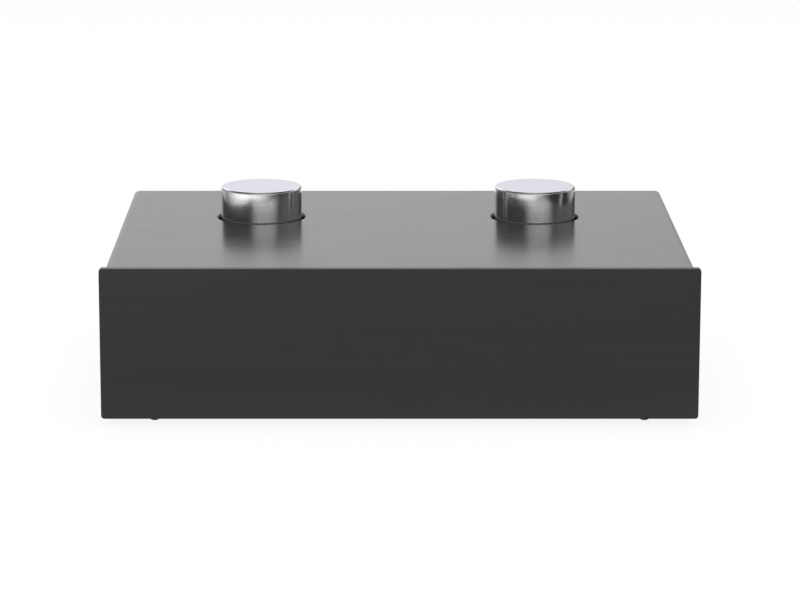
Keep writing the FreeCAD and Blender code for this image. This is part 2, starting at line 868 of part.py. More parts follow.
def socket_body(x):
    """Moulded body with a boss through the rear panel and a stepped bore."""
    half = socket_body_width / 2
    inner_y = rear_inner_y - socket_body_depth
    low = (x - half, inner_y, board_top_z)
    body = block(low, (x + half, rear_inner_y, socket_z + socket_body_top_margin))
    body = body.makeFillet(socket_body_corner, edges_along(body, Y_AXIS))
    axis_point = Vector(x, inner_y, socket_z)
    boss_length = socket_body_depth + rear_panel_thickness + boss_proud
    body = body.fuse(rod(boss_radius, axis_point, Y_AXIS, boss_length)).removeSplitter()
    ring_depth = barrel_ring_y() - inner_y
    bore_radius = barrel_root_radius + socket_fit
    tail_half = contact_tail_width / 2 + socket_fit
    groove = block((x - tail_half, inner_y, board_top_z), (x + tail_half, barrel_ring_y(), socket_z))
    screw_start = Vector(x, rear_inner_y, socket_z - socket_screw_drop)
    cuts = [
        rod(bore_radius, axis_point, Y_AXIS, boss_length),
        rod(barrel_ring_radius + socket_fit, axis_point, Y_AXIS, ring_depth),
        groove,
        rod(thread_radius, screw_start, -Y_AXIS, socket_screw_length),
    ]
    return body.cut(cuts)


def socket_barrel(x):
    """Outer contact: a stepped tube with a retaining ring and a tail down through the board."""
    inner_radius = barrel_radius - barrel_wall
    length = rear_face_y + barrel_reach - barrel_ring_y()
    root_length = rear_face_y + boss_proud - barrel_ring_y()
    profile = [
        (inner_radius, -barrel_ring_thickness),
        (barrel_ring_radius, -barrel_ring_thickness),
        (barrel_ring_radius, 0),
        (barrel_root_radius, 0),
        (barrel_root_radius, root_length),
        (barrel_radius, root_length),
        (barrel_radius, length - barrel_tip_chamfer),
        (barrel_radius - barrel_tip_chamfer, length),
        (inner_radius, length),
    ]
    barrel = turned(profile, Vector(x, barrel_ring_y(), socket_z), Y_AXIS)
    half = contact_tail_width / 2
    y = barrel_tail_y()
    tail = block((x - half, y - tail_thickness / 2, board_bottom_z - lead_stub),
                 (x + half, y + tail_thickness / 2, socket_z - (inner_radius + barrel_wall / 2)))
    return fuse_all([barrel, tail])


def socket_insulator(x):
    """Tube between the barrel and the centre contact, just short of the barrel's end."""
    outer_radius = barrel_radius - barrel_wall - socket_fit
    start_y = barrel_ring_y() - barrel_ring_thickness
    length = rear_face_y + barrel_reach - insulator_recess - start_y
    profile = [
        (contact_radius + socket_fit, 0),
        (outer_radius, 0),
        (outer_radius, length),
        (contact_radius + socket_fit, length),
    ]
    return turned(profile, Vector(x, start_y, socket_z), Y_AXIS)


def socket_contact(x):
    """Centre contact: a blind tube with a flared mouth and a tail down through the board."""
    start_y = contact_tail_y() + tail_thickness / 2
    length = rear_face_y + barrel_reach - insulator_recess - start_y
    floor = length - contact_bore_depth
    profile = [
        (0, 0),
        (contact_radius, 0),
        (contact_radius, length),
        (contact_bore_radius + contact_mouth_chamfer, length),
        (contact_bore_radius, length - contact_mouth_chamfer),
        (contact_bore_radius, floor),
        (0, floor),
    ]
    contact = turned(profile, Vector(x, start_y, socket_z), Y_AXIS)
    half = contact_tail_width / 2
    tail = block((x - half, start_y - tail_thickness, board_bottom_z - lead_stub),
                 (x + half, start_y, socket_z + half))
    return fuse_all([contact, tail])


def socket_screws():
    """One screw through the rear panel into the foot of each socket's body."""
    screws = []
    length = rear_panel_thickness + socket_screw_length - screw_end_gap
    for name, x in socket_places():
        seat = Vector(x, rear_face_y, socket_z - socket_screw_drop)
        screws.append(screw(seat, Y_AXIS, length))
    return screws


# Earth posts

def post_places():
    """Name and X of each earth post, beside its pair of sockets."""
    return [("input", post_spacing / 2), ("output", -post_spacing / 2)]


def washer_start_y():
    """Near face of the washer when the thumb nut is tight."""
    return rear_face_y + collar_thickness + washer_gap


def nut_start_y():
    """Near face of the thumb nut when it is tight."""
    return washer_start_y() + washer_thickness + washer_gap


def earth_post(x):
    """Stud through the rear panel, with a collar against the panel's outer face."""
    profile = [
        (0, -post_inner_reach - rear_panel_thickness),
        (post_radius - post_tip_chamfer, -post_inner_reach - rear_panel_thickness),
        (post_radius, post_tip_chamfer - post_inner_reach - rear_panel_thickness),
        (post_radius, 0),
        (collar_radius, 0),
        (collar_radius, collar_thickness),
        (post_radius, collar_thickness),
        (post_radius, post_reach - post_tip_chamfer),
        (post_radius - post_tip_chamfer, post_reach),
        (0, post_reach),
    ]
    return turned(profile, Vector(x, rear_face_y, socket_z), Y_AXIS)


def earth_washer(x):
    """Flat washer that travels with the thumb nut."""
    bore = post_radius + washer_bore_clearance
    profile = [(bore, 0), (washer_radius, 0), (washer_radius, washer_thickness), (bore, washer_thickness)]
    return turned(profile, Vector(x, washer_start_y(), socket_z), Y_AXIS)


def earth_thumb_nut(x):
    """Thumb nut with a neck next to the washer and straight flutes round its grip."""
    bore = post_radius + nut_bore_clearance
    grip_start = nut_neck_length + nut_edge_chamfer
    profile = [
        (bore, 0),
        (nut_neck_radius, 0),
        (nut_neck_radius, nut_neck_length),
        (nut_radius - nut_edge_chamfer, nut_neck_length),
        (nut_radius, grip_start),
        (nut_radius, nut_length - nut_edge_chamfer),
        (nut_radius - nut_edge_chamfer, nut_length),
        (bore, nut_length),
    ]
    nut = turned(profile, Vector(x, nut_start_y(), socket_z), Y_AXIS)
    flutes = []
    reach = nut_radius + nut_flute_radius - nut_flute_depth
    for step in range(nut_flute_count):
        angle = 2 * math.pi * step / nut_flute_count
        start = Vector(x + reach * math.cos(angle), nut_start_y(), socket_z + reach * math.sin(angle))
        flutes.append(rod(nut_flute_radius, start, Y_AXIS, nut_length))
    return nut.cut(flutes)


def earth_lock_nuts():
    """Hexagonal nut on each post, inside the case, over the solder lug."""
    nuts = []
    for name, x in post_places():
        base = Vector(x, rear_inner_y - lug_thickness - lock_nut_height, socket_z)
        nut = hexagon(lock_nut_across_flats, base, Y_AXIS, lock_nut_height)
        bore = rod(post_radius + thread_clearance, base, Y_AXIS, lock_nut_height)
        nuts.append(nut.cut(bore))
    return nuts


def lug_end_y():
    """Middle of the lug's tail where it goes through the board."""
    return rear_inner_y - lug_thickness / 2 - lug_step


def earth_lugs():
    """Solder lugs: a ring under each lock nut and a strip stepped down into the board."""
    lugs = []
    for name, x in post_places():
        ring_y = rear_inner_y - lug_thickness
        centre = Vector(x, ring_y, socket_z)
        ring = rod(lug_ring_radius, centre, Y_AXIS, lug_thickness)
        step_z = board_top_z + lug_step_rise
        path = [
            Vector(x - lug_width / 2, rear_inner_y, socket_z),
            Vector(x - lug_width / 2, rear_inner_y, step_z),
            Vector(x - lug_width / 2, rear_inner_y - lug_step, step_z),
            Vector(x - lug_width / 2, rear_inner_y - lug_step, board_top_z),
        ]
        strip = bent_sheet(path, lug_thickness, lug_bend_radius, -X_AXIS, -lug_width)
        half = lug_width / 4
        tail = block((x - half, lug_end_y() - lug_thickness / 2, board_bottom_z - lead_stub),
                     (x + half, lug_end_y() + lug_thickness / 2, board_top_z))
        lug = fuse_all([ring, strip, tail])
        bore = rod(post_radius + post_hole_clearance, centre, Y_AXIS, lug_thickness)
        lugs.append(lug.cut(bore))
    return lugs


# Assembly

def all_nodes():
    """Every named piece, as one solid or a list of like solids."""
    nodes = {
        "front_panel": front_panel(),
        "front_panel_screws": front_panel_screws(),
        "chassis_tray": chassis_tray(),
        "top_cover": top_cover(),
        "cover_screws": cover_screws(),
        "rear_panel": rear_panel(),
        "rear_panel_screws": rear_panel_screws(),
        "rubber_feet": rubber_feet(),
        "circuit_board": circuit_board(),
        "board_standoffs": board_standoffs(),
        "board_screws": board_screws(),
        "damping_resistors": damping_resistors(),
        "damping_capacitors": damping_capacitors(),
        "socket_screws": socket_screws(),
        "earth_lock_nuts": earth_lock_nuts(),
        "earth_lugs": earth_lugs(),
    }
    for name, side in SIDES:
        centre = Vector(side * can_spacing / 2, can_y, 0)
        nodes[name + "_can"] = transformer_can(centre)
        nodes[name + "_inner_shield"] = inner_shield(centre)
        nodes[name + "_core"] = transformer_core(centre)
        nodes[name + "_bobbin"] = transformer_bobbin(centre)
        nodes[name + "_primary_winding"] = primary_winding(centre)
        nodes[name + "_secondary_winding"] = secondary_winding(centre)
        nodes[name + "_transformer_base"] = transformer_base(centre, side)
        nodes[name + "_transformer_pins"] = transformer_pins(side)
        nodes[name + "_can_clamp"] = can_clamp(centre)
        nodes[name + "_can_clamp_screws"] = can_clamp_screws(centre, side)
    for name, x in socket_places():
        nodes[name + "_socket_body"] = socket_body(x)
        nodes[name + "_socket_barrel"] = socket_barrel(x)
        nodes[name + "_socket_insulator"] = socket_insulator(x)
        nodes[name + "_socket_contact"] = socket_contact(x)
    for name, x in post_places():
        nodes[name + "_earth_post"] = earth_post(x)
        nodes[name + "_earth_washer"] = earth_washer(x)
        nodes[name + "_earth_thumb_nut"] = earth_thumb_nut(x)
    return nodes


def main():
    """Write one STEP file for each named piece."""
    os.makedirs("parts", exist_ok=True)
    for name, shape in all_nodes().items():
        solids = shape if isinstance(shape, list) else shape.Solids
        piece = solids[0] if len(solids) == 1 else Part.makeCompound(solids)
        piece.exportStep("parts/" + name + ".step")
    print("overall depth", case_depth + rear_reach, "height", can_top_z)


main()
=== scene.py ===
import math

import bmesh
import bpy
import numpy as np
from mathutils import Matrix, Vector


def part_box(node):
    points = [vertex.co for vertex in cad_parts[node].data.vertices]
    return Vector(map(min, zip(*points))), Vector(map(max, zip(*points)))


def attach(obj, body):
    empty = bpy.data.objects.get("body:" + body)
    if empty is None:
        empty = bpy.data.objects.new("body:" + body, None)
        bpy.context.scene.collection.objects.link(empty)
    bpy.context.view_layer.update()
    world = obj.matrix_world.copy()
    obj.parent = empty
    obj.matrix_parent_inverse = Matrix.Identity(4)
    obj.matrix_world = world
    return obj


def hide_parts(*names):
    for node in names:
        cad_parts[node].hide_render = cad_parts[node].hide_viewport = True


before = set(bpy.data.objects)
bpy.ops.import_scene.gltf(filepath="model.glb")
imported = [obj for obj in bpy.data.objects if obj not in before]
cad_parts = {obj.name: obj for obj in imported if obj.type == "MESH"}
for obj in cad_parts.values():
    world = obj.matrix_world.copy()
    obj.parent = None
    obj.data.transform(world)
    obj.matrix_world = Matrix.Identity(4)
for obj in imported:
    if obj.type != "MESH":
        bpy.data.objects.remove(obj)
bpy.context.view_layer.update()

# Looks of a moving coil step-up amplifier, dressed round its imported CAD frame.
# Everything is in metres, in the frame of the CAD: X along the panel, Y back, Z up.

MM = 0.001
CREASE_ANGLE = math.radians(38)

# Sizes that the CAD boxes don't give
PANEL_CORNER = 1.15 * MM
PANEL_EDGE = 0.35 * MM
PANEL_BACK_EDGE = 0.2 * MM
COVER_SHEET = 1.5 * MM
COVER_BEND = 2.1 * MM
COVER_CUT_EDGE = 0.32 * MM
COVER_HOLE_MARGIN = 1.5 * MM
CAN_HOLE_GAP = 1.35 * MM
CAN_WALL = 1.0 * MM
CAN_RIM = 0.75 * MM
CAN_INNER_RIM = 0.7 * MM
CAN_LIP_EDGE = 0.2 * MM
CAN_DRAW_LENGTH = 7.0 * MM
CAN_DRAW_DEPTH = 0.2 * MM
CAN_MARK_DEPTH = 0.013 * MM
LAYER_RELIEF = 0.25
FOOT_RADIUS = 3.05 * MM
FOOT_FLAT_RADIUS = 1.2 * MM
FOOT_RIM_HEIGHT = 0.9 * MM
FOOT_INSET = 3.95 * MM
FOOT_SETBACK = 3.5 * MM

HEAD_RADIUS = 2.7 * MM
HEAD_HEIGHT = 1.5 * MM
RECESS_RADIUS = 1.25 * MM
SHANK_RADIUS = 1.45 * MM
SHANK_TIP = 0.3 * MM
PANEL_SHANK_END = -4.2 * MM
SOCKET_SHANK_END = -6.6 * MM

BOSS_PROUD = 0.6 * MM
SLEEVE_BORE = 3.45 * MM
SLEEVE_RADIUS = 4.15 * MM
SLEEVE_ROOT_RADIUS = 4.7 * MM
SLEEVE_RING_RADIUS = 5.5 * MM
SLEEVE_RING_THICKNESS = 1.0 * MM
INSERT_RADIUS = 3.4 * MM
INSERT_RECESS = 0.5 * MM
INSERT_GROOVE_DEPTH = 0.18 * MM
CONTACT_RADIUS = 2.4 * MM
CONTACT_BORE = 1.65 * MM
CONTACT_BORE_DEPTH = 15.0 * MM
CONTACT_END_GAP = 0.5 * MM
SLIT_LENGTH = 7.0 * MM
SLIT_WIDTH = 0.2 * MM
TAIL_HALF_WIDTH = 0.7 * MM
TAIL_EDGE = 0.1 * MM

POST_RADIUS = 1.95 * MM
POST_TIP = 0.5 * MM
POST_THREAD_PITCH = 0.7 * MM
POST_THREAD_DEPTH = 0.36 * MM
COLLAR_RADIUS = 4.4 * MM
COLLAR_THICKNESS = 2.0 * MM
WASHER_BORE = 2.05 * MM
NUT_BORE = 2.01 * MM
NUT_NECK_RADIUS = 3.7 * MM
NUT_GRIP_RADIUS = 4.75 * MM
NUT_LENGTH = 8.0 * MM
FLUTE_COUNT = 14
FLUTE_DEPTH = 0.38 * MM


# Surfaces as arrays of points. A shell is (points, faces).

def rounded_line(points, radii, steps=6, closed=False):
    """Corners become arcs: each starts and ends r / tan(half angle) from its corner, about a centre
    r / sin(half angle) along the corner's bisector."""
    corners = np.asarray(points, float)
    radius = np.array(np.broadcast_to(radii, len(corners)), float)
    if not closed:
        radius[[0, -1]] = 0
    before = np.roll(corners, 1, 0) - corners
    after = np.roll(corners, -1, 0) - corners
    before /= np.linalg.norm(before, axis=1, keepdims=True)
    after /= np.linalg.norm(after, axis=1, keepdims=True)
    half = np.arccos(np.clip((before * after).sum(1), -1, 1)) / 2
    bisector = before + after
    bisector /= np.maximum(np.linalg.norm(bisector, axis=1, keepdims=True), 1e-12)
    centre = corners + bisector * (radius / np.sin(half))[:, None]
    start = corners + before * (radius / np.tan(half))[:, None] - centre
    end = corners + after * (radius / np.tan(half))[:, None] - centre
    first = np.arctan2(start[:, 1], start[:, 0])
    sweep = np.arctan2(end[:, 1], end[:, 0]) - first
    sweep = (sweep + math.pi) % (2 * math.pi) - math.pi
    angle = first[:, None] + sweep[:, None] * np.linspace(0, 1, steps)
    arc = np.stack([np.cos(angle), np.sin(angle)], -1) * radius[:, None, None] + centre[:, None]
    arc[radius == 0] = corners[radius == 0][:, None]
    line = arc.reshape(-1, 2)
    moved = np.linalg.norm(line - np.roll(line, 1, 0), axis=1) > 1e-8
    moved[0] = moved[0] or not closed
    return line[moved]


def grid_faces(rows, columns, loop_rows, loop_columns):
    """Quads from point (i, j) to (i, j + 1), (i + 1, j + 1) and (i + 1, j)."""
    i, j = np.meshgrid(
        np.arange(rows - (not loop_rows)), np.arange(columns - (not loop_columns)), indexing="ij"
    )
    down, right = (i + 1) % rows, (j + 1) % columns
    quads = [i * columns + j, i * columns + right, down * columns + right, down * columns + j]
    return np.stack(quads, -1).reshape(-1, 4).tolist()


def grid_shell(points, loop_rows=False, loop_columns=True, caps=()):
    """A grid of points (rows, columns, 3) as quads, with each row named in caps closed flat."""
    rows, columns = points.shape[:2]
    faces = grid_faces(rows, columns, loop_rows, loop_columns)
    faces += [[row % rows * columns + j for j in range(columns)] for row in caps]
    return points.reshape(-1, 3), faces


def along(axis):
    """Two directions square to an axis, which turn towards each other about it, and the axis."""
    axis = np.asarray(axis, float)
    first = np.array([0, 0, 1.0]) if abs(axis[1]) > 0.5 else np.array([0, 1.0, 0])
    if abs(axis[2]) > 0.5:
        first = np.array([1.0, 0, 0])
    return first, np.cross(axis, first), axis


def carried(radius, height, turn, centre, axis):
    """Points about an axis, from arrays r, h, t: P = centre + r (cos t e1 + sin t e2) + h axis."""
    first, second, axis = along(axis)
    out = np.cos(turn)[..., None] * first + np.sin(turn)[..., None] * second
    return radius[..., None] * out + (height + 0 * turn)[..., None] * axis + np.asarray(centre)


def lathe(profile, centre, axis=(0, 0, 1), around=72, reach=None, loop=False):
    """Turned shape: the profile's (r, h) carried through a whole turn t. With reach, its radius is
    what reach(r, h, t) makes of it."""
    turn = np.linspace(0, 2 * math.pi, around, endpoint=False)[None, :]
    radius, height = np.asarray(profile, float).T[:, :, None]
    if reach is not None:
        radius = reach(radius, height, turn)
    return grid_shell(carried(radius, height, turn, centre, axis), loop_rows=loop)


def rounded_rings(low, high, radius, inset, steps):
    """A rounded rectangle for each inset: P(s, t) = corner centre + (radius - inset(s)) n(t)."""
    turn = (np.arange(4)[:, None] * 90 + np.linspace(0, 90, steps)).ravel() * math.pi / 180
    side = np.repeat([[1, 1], [-1, 1], [-1, -1], [1, -1]], steps, axis=0)
    hub = (low + high) / 2 + side * ((high - low) / 2 - radius)
    out = np.stack([np.cos(turn), np.sin(turn)], -1)
    return hub[None] + (radius - inset)[:, None, None] * out[None]


def rounded_box(low, high, radius, steps=4):
    """Box with rounded upright edges: rounded rings at the insets and heights of its section."""
    low, high = np.asarray(low, float), np.asarray(high, float)
    bevel = min(radius, 0.25 * MM)
    section = rounded_line(
        [(2 * bevel, low[2]), (0, low[2]), (0, high[2]), (2 * bevel, high[2])], bevel * 0.9, steps=4
    )
    inset, height = section.T
    flat = rounded_rings(low[:2], high[:2], max(radius, 2.2 * bevel), inset, steps)
    level = np.broadcast_to(height[:, None, None], flat.shape[:2] + (1,))
    return grid_shell(np.concatenate([flat, level], -1), caps=(0, -1))


# Pieces

def make_piece(name, shells, finish, body, nodes, material=None, crease=CREASE_ANGLE):
    """Join shells into one closed piece that stands for CAD nodes and rides on their body."""
    points, faces, start = [], [], 0
    for shell_points, shell_faces in shells:
        points.append(shell_points)
        faces += [[start + corner for corner in face] for face in shell_faces]
        start += len(shell_points)
    mesh = bpy.data.meshes.new(name)
    mesh.from_pydata(np.concatenate(points).tolist(), [], faces)
    shape = bmesh.new()
    shape.from_mesh(mesh)
    bmesh.ops.remove_doubles(shape, verts=shape.verts, dist=1e-6)
    bmesh.ops.recalc_face_normals(shape, faces=shape.faces)
    shape.to_mesh(mesh)
    shape.free()
    mesh.polygons.foreach_set("use_smooth", np.ones(len(mesh.polygons), bool))
    mesh.set_sharp_from_angle(angle=crease)
    mesh.materials.append(material or FINISH[finish])
    piece = bpy.data.objects.new(name, mesh)
    bpy.context.scene.collection.objects.link(piece)
    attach(piece, body)
    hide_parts(*nodes)
    return piece


def true_flats(piece):
    """Last modifier: corner normals follow the larger faces, so flats beside an arc stay flat."""
    level = piece.modifiers.new("true_flats", "WEIGHTED_NORMAL")
    level.mode = "FACE_AREA"
    level.weight = 100
    level.keep_sharp = True


def middle(node):
    """Middle of a CAD node's box."""
    low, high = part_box(node)
    return np.array((low + high) / 2)


# Node tools

def add(tree, kind, inputs=(), **settings):
    """Add a shader node, set its options, and fill its inputs from values or from outputs."""
    node = tree.nodes.new(kind)
    for key, value in settings.items():
        setattr(node, key, value)
    for key, value in dict(inputs).items():
        if isinstance(value, bpy.types.NodeSocket):
            tree.links.new(value, node.inputs[key])
        else:
            node.inputs[key].default_value = value
    return node


def math_node(tree, operation, first, second=0.0, clamp=False):
    """One sum on values or outputs."""
    node = add(tree, "ShaderNodeMath", operation=operation, use_clamp=clamp)
    for socket, value in zip(node.inputs, (first, second)):
        if isinstance(value, bpy.types.NodeSocket):
            tree.links.new(value, socket)
        else:
            socket.default_value = value
    return node.outputs[0]


def span(tree, value, low, high, to_low=0.0, to_high=1.0):
    """A value's range mapped to another, clamped."""
    node = add(tree, "ShaderNodeMapRange", {0: value, 1: low, 2: high, 3: to_low, 4: to_high})
    return node.outputs[0]


def soft_step(tree, value, low, high):
    """0 to 1 between two values, smoothly."""
    node = add(tree, "ShaderNodeMapRange", {0: value, 1: low, 2: high},
               interpolation_type="SMOOTHSTEP")
    return node.outputs[0]


def vector_node(tree, operation, first, second=None, result="Vector"):
    """One sum on vectors."""
    inputs = {0: first} if second is None else {0: first, 1: second}
    return add(tree, "ShaderNodeVectorMath", inputs, operation=operation).outputs[result]


def parts_of(tree, vector):
    """X, Y and Z of a vector."""
    return add(tree, "ShaderNodeSeparateXYZ", {0: vector}).outputs


def mix_colour(tree, share, first, second):
    """One colour running into another by a mask."""
    node = add(tree, "ShaderNodeMix", {0: share, 6: first, 7: second}, data_type="RGBA")
    return node.outputs[2]


def noise(tree, vector, scale, detail=2.0, roughness=0.5):
    """Value of one noise texture."""
    settings = {"Vector": vector, "Scale": scale, "Detail": detail, "Roughness": roughness}
    return add(tree, "ShaderNodeTexNoise", settings).outputs["Fac"]


def stretched(tree, vector, scale):
    """A pattern's coordinates scaled by axis."""
    return add(tree, "ShaderNodeMapping", {"Vector": vector, "Scale": scale}).outputs[0]


GROUPS = {}


def effect(name, inputs, outputs, build):
    """A shared effect: a node group with named inputs and outputs, built once."""
    if name not in GROUPS:
        group = bpy.data.node_groups.new(name, "ShaderNodeTree")
        for label, kind, default in inputs:
            socket = group.interface.new_socket(label, in_out="INPUT", socket_type=kind)
            if default is not None:
                socket.default_value = default
        for label, kind in outputs:
            group.interface.new_socket(label, in_out="OUTPUT", socket_type=kind)
        source = group.nodes.new("NodeGroupInput")
        result = build(group, source.outputs)
        sink = group.nodes.new("NodeGroupOutput")
        for label, value in result.items():
            group.links.new(value, sink.inputs[label])
        GROUPS[name] = group
    return GROUPS[name]


def use(tree, group, **inputs):
    """Place a shared effect in a material."""
    node = tree.nodes.new("ShaderNodeGroup")
    node.node_tree = group
    for label, value in inputs.items():
        socket = node.inputs[label.replace("_", " ")]
        if isinstance(value, bpy.types.NodeSocket):
            tree.links.new(value, socket)
        else:
            socket.default_value = value
    return node.outputs


FLOAT, VECTOR = "NodeSocketFloat", "NodeSocketVector"


def brush_group():
    """Brushing along X: noise stretched to long hairs, in two widths."""
    def build(tree, given):
        fine = noise(tree, stretched(tree, given["Vector"], (14, 2600, 2600)), 1.0, 3.0, 0.6)
        broad = noise(tree, stretched(tree, given["Vector"], (5, 520, 520)), 1.0, 2.0, 0.5)
        hair = math_node(tree, "ADD", math_node(tree, "MULTIPLY", fine, 0.7),
                         math_node(tree, "MULTIPLY", broad, 0.3))
        return {"Hair": hair, "Sheen": span(tree, broad, 0.3, 0.7)}
    return effect("brushing_along_x", [("Vector", VECTOR, None)],
                  [("Hair", FLOAT), ("Sheen", FLOAT)], build)


def spun_group():
    """Turning marks round an upright axis: noise of the distance from it."""
    def build(tree, given):
        parts = parts_of(tree, given["Vector"])
        square = math_node(tree, "ADD", math_node(tree, "MULTIPLY", parts[0], parts[0]),
                           math_node(tree, "MULTIPLY", parts[1], parts[1]))
        radius = math_node(tree, "SQRT", square)
        ring = add(tree, "ShaderNodeCombineXYZ", {0: radius, 1: 0.0, 2: parts[2]}).outputs[0]
        fine = noise(tree, ring, 5200.0, 2.0, 0.6)
        broad = noise(tree, ring, 700.0, 2.0, 0.5)
        mark = math_node(tree, "ADD", math_node(tree, "MULTIPLY", fine, 0.6),
                         math_node(tree, "MULTIPLY", broad, 0.4))
        return {"Mark": mark}
    return effect("turning_marks", [("Vector", VECTOR, None)], [("Mark", FLOAT)], build)


def grain_group():
    """Skin of sprayed or moulded surfaces: soft cells of a given size, with a slow drift."""
    def build(tree, given):
        cell = noise(tree, given["Vector"], given["Scale"], 2.0, 0.45)
        drift = noise(tree, given["Vector"], 22.0, 3.0, 0.55)
        return {"Grain": cell, "Drift": span(tree, drift, 0.3, 0.7)}
    return effect("sprayed_grain", [("Vector", VECTOR, None), ("Scale", FLOAT, 2500.0)],
                  [("Grain", FLOAT), ("Drift", FLOAT)], build)


def dust_group():
    """Fine dust where a surface looks up: specks times the normal's Z."""
    def build(tree, given):
        up = parts_of(tree, given["Normal"])[2]
        specks = noise(tree, given["Vector"], 1900.0, 2.0, 0.7)
        cloud = noise(tree, given["Vector"], 35.0, 4.0, 0.6)
        mask = math_node(tree, "MULTIPLY", span(tree, specks, 0.63, 0.78),
                         span(tree, cloud, 0.35, 0.7))
        mask = math_node(tree, "MULTIPLY", mask, span(tree, up, 0.3, 0.95))
        return {"Dust": math_node(tree, "MULTIPLY", mask, given["Amount"])}
    return effect("fine_dust", [("Vector", VECTOR, None), ("Normal", VECTOR, None),
                                ("Amount", FLOAT, 0.2)], [("Dust", FLOAT)], build)


def smudge_group():
    """Faint handling marks: warped noise between two levels, as a mask for roughness."""
    def build(tree, given):
        warp = noise(tree, given["Vector"], 40.0, 2.0, 0.5)
        shift = add(tree, "ShaderNodeCombineXYZ", {0: math_node(tree, "MULTIPLY", warp, 0.02)})
        moved = vector_node(tree, "ADD", given["Vector"], shift.outputs[0])
        mark = noise(tree, moved, 60.0, 4.0, 0.62)
        return {"Smudge": span(tree, mark, 0.45, 0.75)}
    return effect("handling_marks", [("Vector", VECTOR, None)], [("Smudge", FLOAT)], build)


# Finishes

def finish_of(name, colour, metallic=0.0, roughness=0.4, **constants):
    """A material with its shader's plain values set; returns (material, tree, shader)."""
    material = bpy.data.materials.new("dressed_" + name)
    material.use_nodes = True
    tree = material.node_tree
    tree.nodes.clear()
    shader = add(tree, "ShaderNodeBsdfPrincipled", {
        "Base Color": (*colour, 1), "Metallic": metallic, "Roughness": roughness,
        **{label.replace("_", " "): value for label, value in constants.items()},
    })
    add(tree, "ShaderNodeOutputMaterial", {"Surface": shader.outputs[0]})
    return material, tree, shader


def place(tree):
    """The piece's own coordinates, in metres."""
    return add(tree, "ShaderNodeTexCoord").outputs["Object"]


def normal(tree):
    """The surface's normal."""
    return add(tree, "ShaderNodeNewGeometry").outputs["Normal"]


def emboss(tree, shader, height, distance, strength=1.0):
    """Feed a height into the shader's normal."""
    bump = add(tree, "ShaderNodeBump",
               {"Height": height, "Distance": distance, "Strength": strength})
    tree.links.new(bump.outputs[0], shader.inputs["Normal"])


def feed(tree, shader, **outputs):
    """Link outputs to the shader's inputs."""
    for label, value in outputs.items():
        tree.links.new(value, shader.inputs[label.replace("_", " ")])


def brushed_black_anodise():
    """Front panel: black-dyed aluminium brushed along X."""
    material, tree, shader = finish_of("dark_anodised", (0.02, 0.019, 0.0195), 0.0, 0.36,
                                       Specular_IOR_Level=0.24)
    spot = place(tree)
    hair = use(tree, brush_group(), Vector=spot)
    smudge = use(tree, smudge_group(), Vector=spot)["Smudge"]
    dust = use(tree, dust_group(), Vector=spot, Normal=normal(tree), Amount=0.25)["Dust"]
    dye = mix_colour(tree, hair["Hair"], (0.0305, 0.0281, 0.029, 1), (0.0435, 0.04, 0.0413, 1))
    feed(tree, shader, Base_Color=mix_colour(tree, dust, dye, (0.2, 0.2, 0.2, 1)))
    rough = math_node(tree, "ADD", span(tree, hair["Sheen"], 0, 1, 0.3, 0.4),
                      math_node(tree, "MULTIPLY", smudge, 0.04))
    feed(tree, shader, Roughness=rough)
    emboss(tree, shader, hair["Hair"], 0.004 * MM)
    return material


def satin_black_paint(name, hole=None):
    """Cover and rear panel: satin black powder paint with a fine skin. With hole (|x|, y, radius)
    the walls of the two holes punched through the sheet are coloured light grey: painted light."""
    material, tree, shader = finish_of(name, (0.03, 0.03, 0.03), 0.0, 0.26)
    spot = place(tree)
    skin = use(tree, grain_group(), Vector=spot, Scale=1500.0)
    smudge = use(tree, smudge_group(), Vector=spot)["Smudge"]
    dust = use(tree, dust_group(), Vector=spot, Normal=normal(tree), Amount=0.22)["Dust"]
    black = mix_colour(tree, skin["Drift"], (0.029, 0.029, 0.0292, 1), (0.037, 0.0367, 0.0367, 1))
    colour = mix_colour(tree, dust, black, (0.22, 0.215, 0.21, 1))
    rough = math_node(tree, "ADD", span(tree, skin["Drift"], 0, 1, 0.19, 0.215),
                      math_node(tree, "MULTIPLY", smudge, 0.03))
    if hole is not None:
        level = vector_node(tree, "MULTIPLY", spot, (1, 1, 0))
        left, right = (
            vector_node(tree, "DISTANCE", level, (side * hole[0], hole[1], 0), "Value")
            for side in (-1, 1)
        )
        away = math_node(tree, "MINIMUM", left, right)
        # The hole walls turn light grey and rougher: painted light, in place of the light the black
        # paint catches there.
        bare = soft_step(tree, away, hole[2] + 0.1 * MM, hole[2] + 0.03 * MM)
        colour = mix_colour(tree, bare, colour, (0.42, 0.42, 0.43, 1))
        rough = span(tree, bare, 0, 1, rough, 0.7)
    feed(tree, shader, Base_Color=colour, Roughness=rough)
    emboss(tree, shader, skin["Grain"], 0.0025 * MM)
    return material


